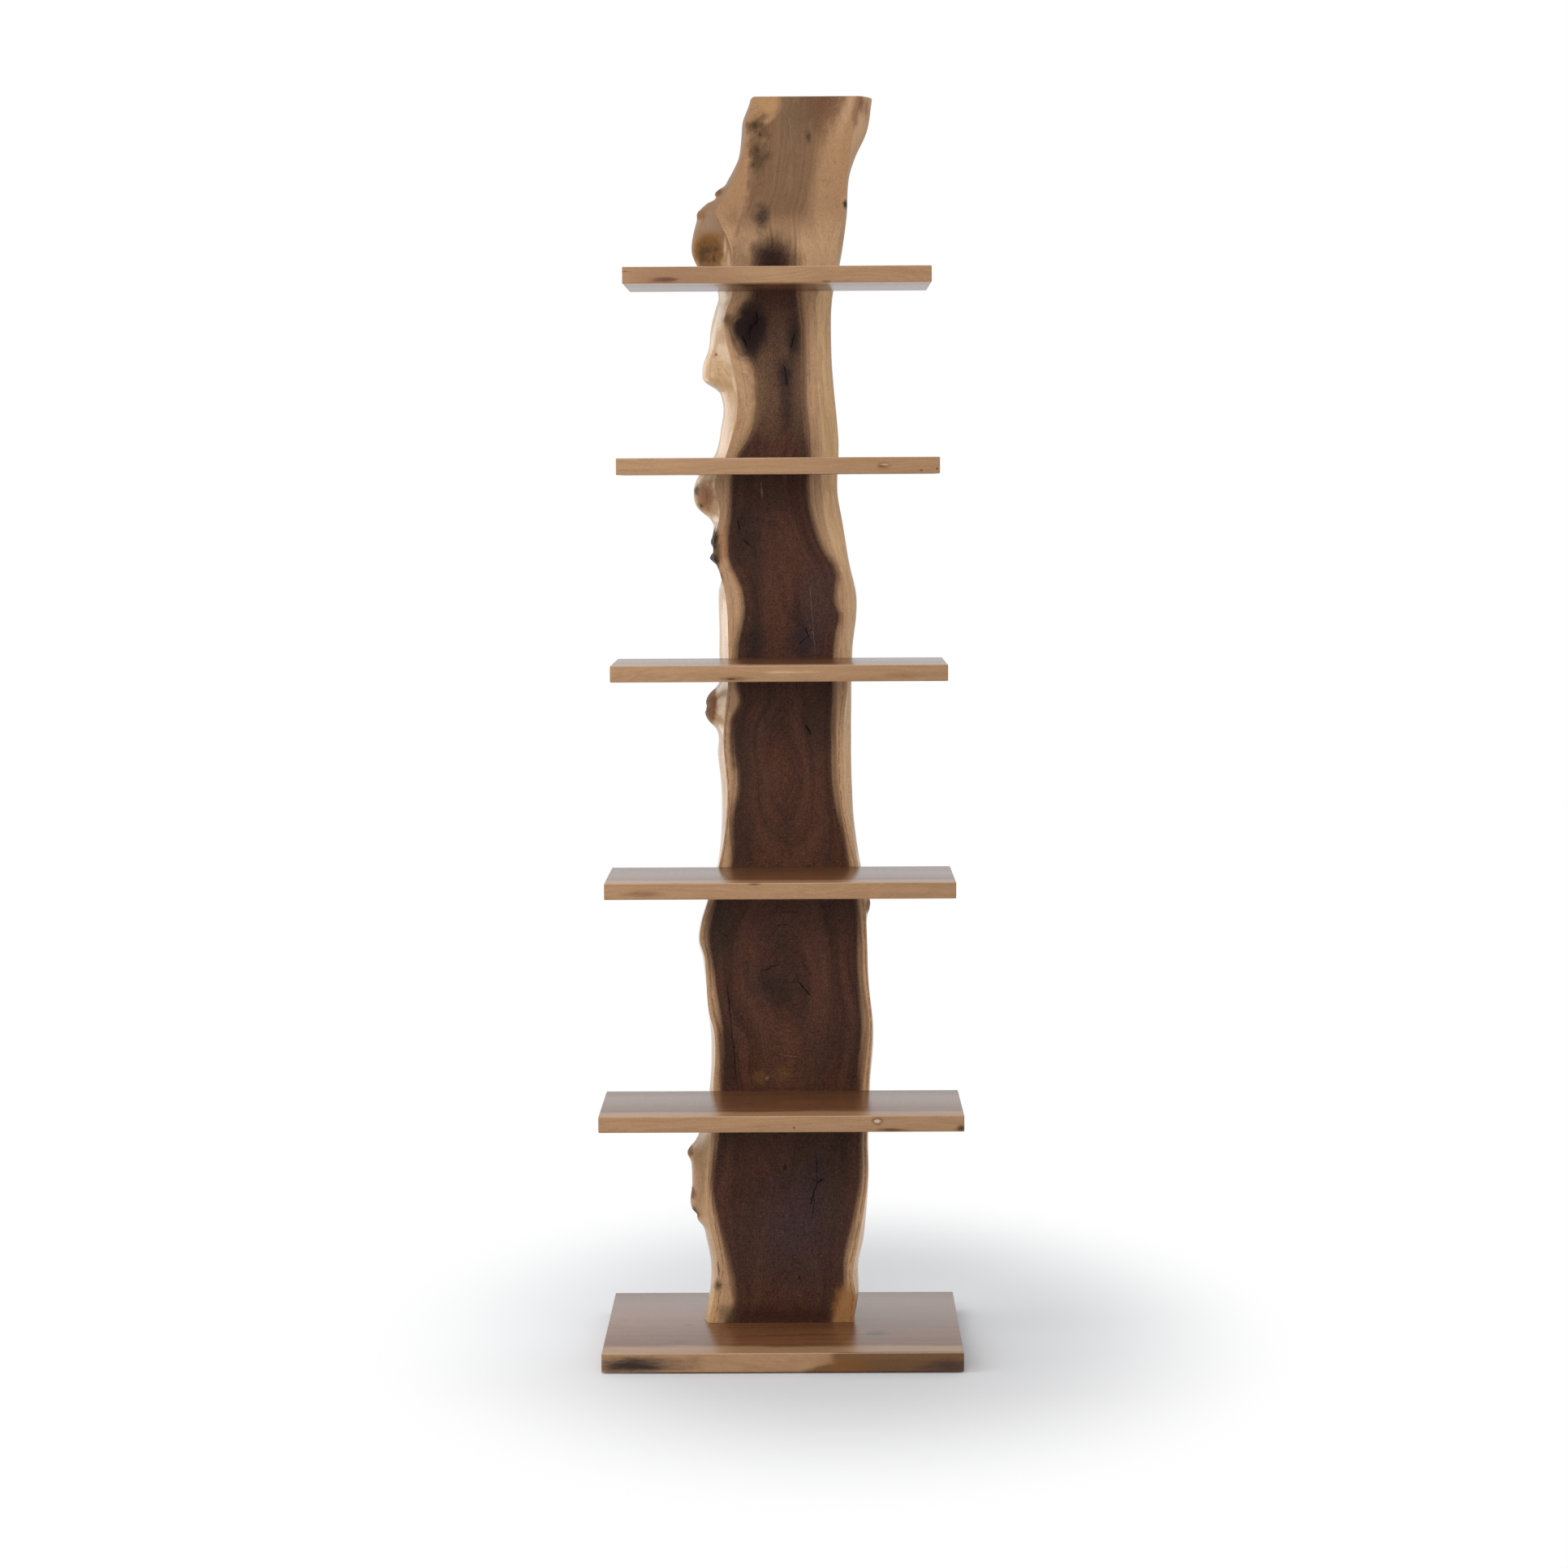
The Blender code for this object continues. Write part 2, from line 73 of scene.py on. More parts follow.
def add_object(name, data):
    """Put an object with this data into the scene."""
    made = bpy.data.objects.new(name, data)
    bpy.context.scene.collection.objects.link(made)
    return made


camera_data = bpy.data.cameras.new("camera")
camera_data.lens = CAMERA_LENS
camera_data.sensor_width = 36.0
camera_data.shift_y = CAMERA_SHIFT_UP
camera = add_object("camera", camera_data)
camera.matrix_world = (
    Matrix.Translation(CAMERA_PLACE)
    @ Matrix.Rotation(-CAMERA_PAN_LEFT, 4, "Z")
    @ Matrix.Rotation(math.pi / 2 - CAMERA_TILT_DOWN, 4, "X")
    @ Matrix.Rotation(-CAMERA_ROLL, 4, "Z")
)
bpy.context.scene.camera = camera
bpy.context.scene.view_settings.view_transform = "Standard"
print("the camera stands", round(-camera.location.y, 2), "m in front of the shelf")

# %% [markdown]
# ## Sums with nodes
# A material is a net of nodes, and most of its nodes do plain sums. They could be added and
# linked one by one, but the thought behind them would be hard to see. So what comes out of
# a node is wrapped as a value that Python can add and multiply: each sum then adds its own
# node to the net that was started last. A mask that is written as `burl * 0.5` reads the
# way a maker thinks of it.

# %% Values
net = None


class Value:
    """What comes out of a node, ready for sums."""

    def __init__(self, socket):
        self.socket = socket

    def __add__(self, other):
        return calc("ADD", self, other)

    def __sub__(self, other):
        return calc("SUBTRACT", self, other)

    def __rsub__(self, other):
        return calc("SUBTRACT", other, self)

    def __mul__(self, other):
        return calc("MULTIPLY", self, other)

    def __truediv__(self, other):
        return calc("DIVIDE", self, other)


def start_net(tree):
    """Say which net the helpers add their nodes to."""
    global net
    net = tree
    return tree


def linear(red, green, blue):
    """Turn a colour of 0 to 255, as seen on a screen, into linear light."""
    shares = [value / 255 for value in (red, green, blue)]
    return (*[s / 12.92 if s < 0.04045 else ((s + 0.055) / 1.055) ** 2.4 for s in shares], 1.0)


def fill(sockets, values):
    """Link values to sockets, or write plain numbers and colours of 0 to 255 in them."""
    for name, value in values.items():
        socket = sockets[name]
        if isinstance(value, Value):
            net.links.new(value.socket, socket)
        else:
            socket.default_value = linear(*value) if socket.type == "RGBA" else value


def add(kind, inputs=None, output=0, **settings):
    """Add a node, fill its sockets and return one of its outputs."""
    made = net.nodes.new(kind)
    for name, value in settings.items():
        setattr(made, name, value)
    fill(made.inputs, inputs or {})
    return Value(made.outputs[output])


def calc(operation, *numbers):
    """Do one sum on numbers."""
    return add("ShaderNodeMath", dict(enumerate(numbers)), operation=operation)


print("a walnut brown of 74, 48, 38 is", [round(v, 3) for v in linear(74, 48, 38)], "in linear light")

# %% [markdown]
# ## Light, floor and background
# The studio is bright and plain. More lamps could turn its background white, but they would
# wash out the wood as well, so the world and the floor are white to the camera alone. The
# lacquer mirrors the world: bright behind the shelf, dim in front, where the room behind the
# camera is, and dimmer on the right. A soft lamp on the left lights the wood and throws the
# faint shadow to the right, a second one further back shows only as gloss on the live edge,
# and a third lights the front without showing in the lacquer.

# %% World
WHITE = (255, 255, 255)
AMBIENT_LEVEL = 0.68
FRONT_REFLECTION = 0.03
BACK_REFLECTION = 0.91
RIGHT_REFLECTION = 0.20


def axes_of(vector):
    """Return the x, y and z of a vector."""
    made = net.nodes.new("ShaderNodeSeparateXYZ")
    fill(made.inputs, {0: vector})
    return [Value(socket) for socket in made.outputs]


def fade(value, start, end, low=0.0, high=1.0):
    """Fade softly from low at start to high at end."""
    inputs = {"Value": value, "From Min": start, "From Max": end, "To Min": low, "To Max": high}
    return add("ShaderNodeMapRange", inputs, interpolation_type="SMOOTHSTEP")


def choose(share, first, second):
    """Mix two numbers."""
    return add("ShaderNodeMix", {0: share, 2: first, 3: second}, data_type="FLOAT")


def light_path(*kinds):
    """Return, for each kind of ray that is named, whether it is the one that looks."""
    rays = net.nodes.new("ShaderNodeLightPath").outputs
    return [Value(rays["Is %s Ray" % kind]) for kind in kinds]


world = bpy.data.worlds.new("studio")
world.use_nodes = True
bpy.context.scene.world = world
start_net(world.node_tree)
x, y, _ = axes_of(add("ShaderNodeTexCoord", output="Generated"))
mirrored = fade(y, -0.65, 0.25, FRONT_REFLECTION, BACK_REFLECTION)
mirrored = mirrored * fade(x, 0.15, 0.60, 1.0, RIGHT_REFLECTION)
seen, glossy, through = light_path("Camera", "Glossy", "Transmission")
level = choose(calc("MAXIMUM", glossy, through), AMBIENT_LEVEL, mirrored)
fill(net.nodes["Background"].inputs, {"Color": WHITE, "Strength": choose(seen, level, 1.0)})
print("the world's net has", len(net.nodes), "nodes")


# %% Lamps
def add_lamp(name, place, width, height, power):
    """Add a soft rectangular lamp that faces the middle of the shelf."""
    data = bpy.data.lights.new(name, "AREA")
    data.shape = "RECTANGLE"
    data.size = width
    data.size_y = height
    data.energy = power
    lamp = add_object(name, data)
    lamp.location = place
    lamp.rotation_euler = (SHELF_MIDDLE - Vector(place)).to_track_quat("-Z", "Y").to_euler()
    return lamp


SHELF_MIDDLE = Vector((0.0, 0.0, 1.0))
left_lamp = add_lamp("left_lamp", (-2.6, -1.1, 2.1), 1.6, 2.4, 38.0)
gloss_lamp = add_lamp("gloss_lamp", (-2.4, 1.2, 1.4), 1.4, 2.6, 20.0)
gloss_lamp.visible_diffuse = False
gloss_lamp.visible_camera = False
front_lamp = add_lamp("front_lamp", (-1.2, -5.0, 2.6), 2.6, 2.2, 90.0)
front_lamp.visible_glossy = False
print("lamps:", [lamp.name for lamp in (left_lamp, gloss_lamp, front_lamp)])

# %% [markdown]
# The floor is a wide pale sheet. Near the shelf it is a real surface that takes the soft
# shadow, and further out it fades into the white of the background, as in a catalogue
# picture. The fade uses the distance from the shelf on the floor's own coordinates.

# %% Floor
FLOOR_SIZE = 14.0


def object_from(bm, name):
    """Turn a bmesh into an object of the scene."""
    mesh = bpy.data.meshes.new(name)
    bm.to_mesh(mesh)
    bm.free()
    return add_object(name, mesh)


bm = bmesh.new()
bmesh.ops.create_grid(bm, x_segments=4, y_segments=4, size=FLOOR_SIZE / 2)
floor = object_from(bm, "floor")
print("the floor is", FLOOR_SIZE, "m wide")

# %% The floor's paper
PAPER_BEHIND = (240, 242, 245)
# Towards the front the paper is painted darker, as painted shade.
PAPER_IN_FRONT_PAINTED_SHADE = (226, 227, 229)
FADE_CENTRE = (0.08, 0.14, 0.0)
FADE_STRETCH = (1.45, 1.0, 0.0)
FADE_START = 0.46
FADE_END = 1.22


def object_place():
    """Return the place on the object."""
    return add("ShaderNodeTexCoord", output="Object")


def on_vectors(operation, first, second=(0.0, 0.0, 0.0), output=0):
    """Do one sum on vectors."""
    return add("ShaderNodeVectorMath", {0: first, 1: second}, output, operation=operation)


def length(vector):
    """Return how long a vector is."""
    return on_vectors("LENGTH", vector, output="Value")


def mix(share, first, second, mode="MIX"):
    """Mix two colours."""
    return add("ShaderNodeMix", {0: share, 6: first, 7: second}, 2, data_type="RGBA", blend_type=mode)


def new_material(name):
    """Start a material and return it with the inputs of its shader."""
    material = bpy.data.materials.new(name)
    material.use_nodes = True
    start_net(material.node_tree)
    return material, net.nodes["Principled BSDF"].inputs


def dress(thing, material):
    """Give an object one material."""
    thing.data.materials.clear()
    thing.data.materials.append(material)


floor_paper, shader = new_material("floor_paper")
place = object_place()
y = axes_of(place)[1]
from_centre = on_vectors("MULTIPLY", on_vectors("SUBTRACT", place, FADE_CENTRE), FADE_STRETCH)
far = fade(length(from_centre), FADE_START, FADE_END)
# The paper is painted darker towards the front: painted shade.
paper = mix(fade(y, -0.35, 0.10), PAPER_IN_FRONT_PAINTED_SHADE, PAPER_BEHIND)
fill(shader, {"Base Color": paper, "Roughness": 0.9, "Specular IOR Level": 0.1})
seen, glossy = light_path("Camera", "Glossy")
mirrored = fade(y, -0.30, 0.60, FRONT_REFLECTION, BACK_REFLECTION)
glow = net.nodes.new("ShaderNodeEmission")
fill(glow.inputs, {"Color": WHITE, "Strength": choose(glossy, 1.0, mirrored)})
blend = net.nodes.new("ShaderNodeMixShader")
fill(blend.inputs, {
    0: calc("MAXIMUM", seen * far, glossy),
    1: Value(net.nodes["Principled BSDF"].outputs[0]),
    2: Value(glow.outputs[0]),
})
fill(net.nodes["Material Output"].inputs, {"Surface": Value(blend.outputs[0])})
dress(floor, floor_paper)
print("the floor's material has", len(net.nodes), "nodes, and it is white from", FADE_END, "m on")

# %% [markdown]
# ## The slab's outline
# The slab was sawn from a log along its length. Its front face is flat, and its two sides
# are the outside of the tree. Four lines describe it: on each side, the edge of the flat
# face, and the furthest reach of the live edge behind it. They are lists of (height above
# the base, x) in millimetres. Straight steps between these would leave corners where the
# tree grew smooth, so they are read as curves. Two more lines bound the dark heartwood on
# the face.

# %% Outlines
BASE_TOP = 0.0350
SLAB_BOTTOM = 0.0353
SLAB_TOP = 2.1520
SLAB_FACE_Y = 0.008
SLAB_THICKNESS = 0.050
SLAB_BACK_Y = SLAB_FACE_Y + SLAB_THICKNESS
LIVE_EDGE_TURN = math.radians(104)

OUTER_LEFT = (
    (0, -139), (50, -129), (97, -127), (142, -134), (163, -139), (176, -149), (183, -149),
    (190, -155), (240, -158), (275, -160), (297, -164), (314, -152), (340, -141), (413, -126),
    (492, -124), (538, -128), (605, -134), (639, -138), (662, -144), (696, -141), (730, -131),
    (797, -111), (899, -103), (944, -104), (989, -109), (1036, -112), (1052, -125), (1064, -129),
    (1073, -126), (1082, -128), (1096, -121), (1108, -110), (1170, -105), (1271, -106),
    (1317, -106), (1323, -113), (1329, -118), (1343, -113), (1355, -117), (1374, -113),
    (1396, -118), (1418, -140), (1441, -146), (1463, -143), (1508, -111), (1554, -100),
    (1599, -97), (1618, -104), (1633, -126), (1655, -130), (1689, -120), (1723, -117),
    (1757, -109), (1779, -103), (1800, -110), (1823, -133), (1841, -143), (1856, -148),
    (1871, -148), (1885, -146), (1902, -142), (1916, -138), (1922, -138), (1933, -129),
    (1940, -121), (1947, -106), (1957, -105), (1964, -98), (1968, -92), (1979, -85), (1997, -75),
    (2014, -67), (2035, -63), (2056, -61), (2078, -59), (2100, -51), (2112, -47), (2117, -46),
)
FACE_LEFT = (
    (0, -131), (31, -124), (59, -119), (87, -115), (115, -116), (171, -127), (199, -131),
    (241, -131), (325, -124), (416, -119), (522, -120), (536, -124), (611, -131), (645, -134),
    (668, -141), (701, -138), (735, -128), (802, -107), (914, -92), (1027, -98), (1111, -90),
    (1209, -89), (1251, -91), (1307, -103), (1335, -113), (1363, -112), (1405, -102),
    (1464, -109), (1503, -92), (1545, -79), (1573, -72), (1615, -71), (1671, -81), (1714, -91),
    (1742, -91), (1784, -78), (1826, -76), (1850, -77), (1875, -84), (1900, -96), (1925, -104),
    (1945, -92), (1970, -78), (2000, -66), (2040, -55), (2080, -52), (2105, -44), (2117, -41),
)
FACE_RIGHT = (
    (0, 122), (44, 127), (79, 121), (142, 131), (198, 141), (254, 148), (324, 147), (415, 150),
    (521, 157), (605, 150), (675, 148), (734, 145), (801, 133), (857, 120), (913, 111),
    (969, 108), (1054, 110), (1110, 115), (1166, 112), (1236, 117), (1292, 113), (1334, 96),
    (1390, 80), (1463, 72), (1544, 74), (1601, 68), (1727, 66), (1783, 68), (1825, 97),
    (1867, 103), (1923, 114), (1986, 120), (2042, 127), (2080, 134), (2117, 144),
)
OUTER_RIGHT = (
    (0, 124), (51, 131), (96, 131), (141, 141), (186, 146), (254, 150), (311, 148), (412, 152),
    (514, 159), (582, 151), (694, 148), (728, 153), (807, 136), (875, 127), (988, 123),
    (1169, 125), (1270, 132), (1315, 122), (1394, 108), (1440, 101), (1530, 103), (1632, 95),
    (1688, 91), (1778, 93), (1835, 106), (1914, 118), (1992, 125), (2015, 133), (2060, 154),
    (2117, 163),
)
HEART_LEFT = (
    (2, -99), (30, -84), (73, -86), (129, -98), (185, -112), (241, -123), (325, -112),
    (416, -105), (522, -108), (606, -118), (690, -126), (735, -116), (802, -86), (886, -83),
    (942, -73), (1026, -83), (1055, -82), (1082, -69), (1111, -75), (1167, -76), (1251, -63),
    (1279, -67), (1321, -85), (1419, -84), (1503, -72), (1531, -56), (1559, -41), (1587, -33),
    (1615, -30), (1643, -34), (1671, -48), (1706, -66), (1728, -76), (1755, -57), (1783, -47),
    (1839, -40), (1853, -33), (1867, -10),
)
HEART_RIGHT = (
    (2, 83), (44, 101), (128, 107), (184, 121), (240, 133), (324, 136), (415, 135), (521, 143),
    (605, 136), (734, 131), (801, 117), (857, 108), (913, 95), (1026, 90), (1110, 94),
    (1166, 94.5), (1205, 99), (1231, 104.5), (1254, 96), (1280, 96.5), (1302, 100), (1318, 94),
    (1334, 83), (1390, 60), (1463, 49), (1503, 54), (1559, 46), (1615, 39), (1741, 40),
    (1783, 34), (1825, 27), (1853, 19), (1867, 5),
)
print("points on the outlines:", [len(line) for line in (OUTER_LEFT, FACE_LEFT, FACE_RIGHT, OUTER_RIGHT)])


# %% Reading an outline
def read_line(line, heights):
    """Read a line's x at many heights, on a smooth curve through its points."""
    known, places = np.array(line).T / 1000
    slopes = np.gradient(places, known)
    heights = np.clip(heights, known[0], known[-1])
    i = np.clip(np.searchsorted(known, heights) - 1, 0, len(known) - 2)
    span = known[i + 1] - known[i]
    t = (heights - known[i]) / span
    start = places[i] * (1 + 2 * t) * (1 - t) ** 2 + slopes[i] * span * t * (1 - t) ** 2
    end = places[i + 1] * t * t * (3 - 2 * t) + slopes[i + 1] * span * t * t * (t - 1)
    return start + end


def edge_reach(depth):
    """Return how far a live edge has swung out, from 0 at the face to 1 at its fullest."""
    return np.sin(LIVE_EDGE_TURN * np.clip(depth, 0.0, 1.0))


heights = np.linspace(0, 2.1, 50)
widths = read_line(FACE_RIGHT, heights) - read_line(FACE_LEFT, heights)
print("the slab's face is", round(widths.min(), 3), "to", round(widths.max(), 3), "m wide")

# %% [markdown]
# ## Burls and hollows
# Where a branch died, the tree grew over it: a bump, often with a rough eye. Such bumps could
# be sculpted by hand, but as numbers they can also tell the material where its crust goes.
# Each one is given by its place as seen from the front, its half sizes, how far it stands
# out, how deep the hollow in its middle is, and how rough it is. Lengths in all the tables
# are in millimetres.

# %% Burls
BURLS = (
    # x, height, half width, half height, lift, hollow, roughness
    (-119, 1855, 24, 28, 6, 10, 0.9), (-101, 1957, 6, 7, 6, 2, 0.6),
    (-132, 1919, 10, 8, 3, 0, 0.4), (-108, 1660, 16, 26, 5, 0, 0.1),
    (-107, 1680, 4, 5, 0, 3, 0.3), (-127, 1436, 16, 26, 5, 2, 0.6), (-133, 1421, 4, 5, 0, 4, 0.7),
    (-141, 1447, 5, 6, 1, 1, 1.0), (-114, 1366, 8, 11, 3, 1, 1.3), (-116, 1331, 9, 9, 3, 1, 1.3),
    (-106, 1300, 4, 10, 1, 0, 0.8), (-122, 1076, 11, 30, 3, 2, 1.0), (150, 729, 6, 12, 3, 0, 0.8),
    (-164, 297, 8, 12, 3, 1, 0.9), (-156, 222, 6, 10, 1, 2, 1.0), (-153, 187, 7, 10, 2, 2, 1.1),
    (-114.4, 62, 7, 9, 3, 2, 0.4),
)


def in_metres(row, count):
    """Turn the first numbers of a row from millimetres into metres."""
    return *[value / 1000 for value in row[:count]], *row[count:]


def burl_masks(x, height):
    """Return the lift, the hollow and the roughness that the burls give at many places."""
    lift = np.zeros_like(x)
    hollow = np.zeros_like(x)
    rough = np.zeros_like(x)
    for row in BURLS:
        burl_x, burl_height, half_width, half_height, rise, dip, roughness = in_metres(row, 6)
        distance = ((x - burl_x) / half_width) ** 2 + ((height - burl_height) / half_height) ** 2
        lift += rise * np.exp(-0.6 * distance)
        hollow += dip * np.exp(-2.0 * distance)
        rough = np.maximum(rough, roughness * np.exp(-0.8 * distance ** 1.5))
    return lift, hollow, rough


print("burls and hollows:", len(BURLS))

# %% [markdown]
# ## The slab's mesh
# A board cut out along the outline would have square sides, so one grid is wrapped round the
# slab instead, like paper round a parcel: its columns run up the slab and its rows go round
# it. The columns crowd together at the arrises, so the sawn corners stay crisp. Round each
# burl the faces of the live edge are split into smaller ones, and then the points of the
# live edges are lifted or sunk a little along their normals.

# %% Columns round the slab
FACE_COLUMNS = 48
EDGE_COLUMNS = 26
FACE_SPAN = 0.24
EDGE_SPAN = 0.07
ARRIS = 0.0010


def spread(count, span):
    """Return shares from 0 to 1 for a strip of columns, with one close to each end."""
    inner = np.linspace(ARRIS / span, 1 - ARRIS / span, count - 1)
    return np.concatenate(([0.0], inner, [1.0]))


def slab_columns():
    """Return each column's depth and its share of the way across, once round the slab."""
    face = spread(FACE_COLUMNS, FACE_SPAN)[:-1]
    edge = spread(EDGE_COLUMNS, EDGE_SPAN)
    front = [(0.0, s) for s in face]
    right = [(s, 1.0) for s in edge[:-1]]
    back = [(1.0, 1 - s) for s in face]
    left = [(1 - s, 0.0) for s in edge]
    return front + right + back + left


print("columns round the slab:", len(slab_columns()))

# %% Wrapping the grid
ROW_COUNT = 440
TOP_EASE = 0.003
TOP_ROWS = ((SLAB_TOP - 0.0009, 0.0009), (SLAB_TOP, TOP_EASE))


def slab_shape(heights, insets):
    """Return the x and y of every column at every height, before the burls."""
    face_left = read_line(FACE_LEFT, heights) + insets
    face_right = read_line(FACE_RIGHT, heights) - insets
    left_flare = read_line(OUTER_LEFT, heights) + insets - face_left
    right_flare = read_line(OUTER_RIGHT, heights) - insets - face_right
    depth, across = np.array(slab_columns()).T[:, :, None]
    left = face_left + left_flare * edge_reach(depth)
    right = face_right + right_flare * edge_reach(depth)
    x = left + (right - left) * across
    y = SLAB_FACE_Y + insets + (SLAB_THICKNESS - 2 * insets) * depth
    return x, y


def wrap_slab():
    """Make the slab's skin from one grid."""
    levels = np.linspace(SLAB_BOTTOM, SLAB_TOP - TOP_EASE, ROW_COUNT - len(TOP_ROWS))
    z, insets = np.array([(level, 0.0) for level in levels] + list(TOP_ROWS)).T
    x, y = slab_shape(z - BASE_TOP, insets)
    bm = bmesh.new()
    bmesh.ops.create_grid(bm, x_segments=len(x) - 1, y_segments=len(z) - 1, size=0.5)
    for vert in bm.verts:
        c = round((vert.co.x + 0.5) * (len(x) - 1))
        r = round((vert.co.y + 0.5) * (len(z) - 1))
        vert.co = (x[c, r], y[c, r], z[r])
    bmesh.ops.remove_doubles(bm, verts=[v for v in bm.verts if v.is_boundary], dist=0.00002)
    bmesh.ops.recalc_face_normals(bm, faces=bm.faces[:])
    return bm


slab_skin = wrap_slab()
print("the wrapped grid has", len(slab_skin.verts), "points")

# %% Lifting the burls
BURL_CUTS = 2
BURL_LIFT = 0.004
BURL_START = 0.12
SWELL = 0.0016
FLUTES = 0.0005
KNOBS = 0.0016
END_CALM = 0.02
SIDEWAYS = 0.5


def share_of_depth(y):
    """Return how far back in the slab a place is, from 0 at the front to 1 at the back."""
    return np.clip((y - SLAB_FACE_Y) / SLAB_THICKNESS, 0, 1)


def refine_burls(bm):
    """Split the faces of the live edges round the burls."""
    x, y, z = np.array([face.calc_center_median() for face in bm.faces]).T
    depth = share_of_depth(y)
    lift, _, rough = burl_masks(x, z - BASE_TOP)
    near = (np.maximum(rough, lift / BURL_LIFT) > BURL_START) & (depth > 0.01) & (depth < 0.99)
    bm.faces.ensure_lookup_table()
    edges = {edge for number in np.nonzero(near)[0] for edge in bm.faces[number].edges}
    bmesh.ops.subdivide_edges(bm, edges=list(edges), cuts=BURL_CUTS, use_grid_fill=True)
    return len(edges)


def skin_relief(place):
    """Return how far the skin of the tree stands out at a place: long swells and finer flutes."""
    x, y, z = place
    swell = noise.fractal(Vector((x * 14, y * 14, z * 6)), 1.0, 2.0, 3) * SWELL
    return swell + noise.noise(Vector((x * 90, y * 90, z * 14))) * FLUTES


def knobs(place):
    """Return the rough relief of a burl at a place."""
    return noise.fractal(place * 90, 1.0, 2.0, 3) * KNOBS


def raise_skin(bm):
    """Give the live edges their bumps and hollows."""
    bm.normal_update()
    x, y, z = np.array([vert.co for vert in bm.verts]).T
    lift, hollow, rough = burl_masks(x, z - BASE_TOP)
    calm = np.clip(np.sin(np.pi * share_of_depth(y)), 0, 1) ** 0.5
    calm *= np.clip((SLAB_TOP - z) / END_CALM, 0, 1) * np.clip((z - SLAB_BOTTOM) / END_CALM, 0, 1)
    bm.verts.ensure_lookup_table()
    for number in np.nonzero(calm > 0.001)[0]:
        vert = bm.verts[number]
        rise = skin_relief(vert.co) + lift[number] - hollow[number]
        if rough[number] > 0.02:
            rise += knobs(vert.co) * rough[number]
        rise *= calm[number]
        vert.co.x += vert.normal.x * rise
        vert.co.y += vert.normal.y * rise * SIDEWAYS


print("edges split round the burls:", refine_burls(slab_skin))
raise_skin(slab_skin)
print("the raised skin has", len(slab_skin.verts), "points and", len(slab_skin.faces), "faces")

# %% [markdown]
# The wrap is open at the top and the bottom. Each end is closed with a grid of its own, so
# that the end grain has points to carry its rings.

# %% Closing the ends
SAME_HEIGHT = 0.0001
FLAT = 0.00001


def close_end(bm, z):
    """Close one end of the slab with a grid between its front and its back edge."""
    rim = [e for e in bm.edges if e.is_boundary and abs(e.verts[0].co.z - z) < SAME_HEIGHT]
    ys = [v.co.y for e in rim for v in e.verts]
    sides = [e for y in (min(ys), max(ys)) for e in rim if all(abs(v.co.y - y) < FLAT for v in e.verts)]
    made = bmesh.ops.grid_fill(bm, edges=sides, use_interp_simple=True)
    return len(sides), len(made["faces"])


print("bottom end, edges and faces:", close_end(slab_skin, SLAB_BOTTOM))
print("top end, edges and faces:", close_end(slab_skin, SLAB_TOP))
bmesh.ops.recalc_face_normals(slab_skin, faces=slab_skin.faces[:])
print("edges left open:", len([e for e in slab_skin.edges if not e.is_manifold]))
slab = object_from(slab_skin, "live_edge_slab")
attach(slab, "root")
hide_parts("spine_slab")

# %% [markdown]
# ## Drilling
# The bolts come in from the back, where wide recesses hide their heads. Dark discs would
# look like holes from straight behind only, so these are real bores. The fasteners of the
# frame say where they are: each is drilled through the middle of the box of its bolt, dowel
# or nut. All drills of one kind are one cutter, and the cut is a Boolean with the exact
# solver.

# %% Drills
BOLT_BORE = 0.009
RECESS_BORE = 0.020
RECESS_DEPTH = 0.022
BASE_RECESS_DEPTH = 0.014
INSERT_BORE = 0.0126
INSERT_SPARE = 0.003
DOWEL_BORE = 0.0106
BARREL_BORE = 0.0146
HOLE_SPARE = 0.0003
BEYOND = 0.030
SIDES = ("left", "right")
Y_AXIS = 1
Z_AXIS = 2


def drill(bm, name, axis, diameter, start=None, end=None, sides=24):
    """Add a drill to a cutter, through a CAD piece and a little past its ends, or as said."""
    low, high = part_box(name)
    first = (low + high) / 2
    last = first.copy()
    first[axis] = low[axis] - HOLE_SPARE if start is None else start
    last[axis] = high[axis] + HOLE_SPARE if end is None else end
    turn = (last - first).to_track_quat("Z", "Y").to_matrix().to_4x4()
    bmesh.ops.create_cone(
        bm, cap_ends=True, segments=sides, radius1=diameter / 2, radius2=diameter / 2,
        depth=(last - first).length, matrix=Matrix.Translation((first + last) / 2) @ turn,
    )


bores = bmesh.new()
recesses = bmesh.new()
before = SLAB_FACE_Y - BEYOND
behind = SLAB_BACK_Y + BEYOND
for number in range(1, 6):
    for side in SIDES:
        bolt = "shelf_%d_bolt_%s" % (number, side)
        drill(bores, bolt, Y_AXIS, BOLT_BORE, before, behind)
        drill(recesses, bolt, Y_AXIS, RECESS_BORE, SLAB_BACK_Y - RECESS_DEPTH, behind, sides=40)
        drill(bores, "shelf_%d_dowel_%s" % (number, side), Y_AXIS, DOWEL_BORE, start=before)
for side in SIDES:
    drill(bores, "base_bolt_" + side, Z_AXIS, BOLT_BORE, start=SLAB_BOTTOM - BEYOND)
    drill(bores, "base_dowel_" + side, Z_AXIS, DOWEL_BORE, start=SLAB_BOTTOM - BEYOND)
    drill(recesses, "base_barrel_nut_" + side, Y_AXIS, BARREL_BORE, end=behind, sides=40)
print("faces of the drills:", len(bores.faces), len(recesses.faces))


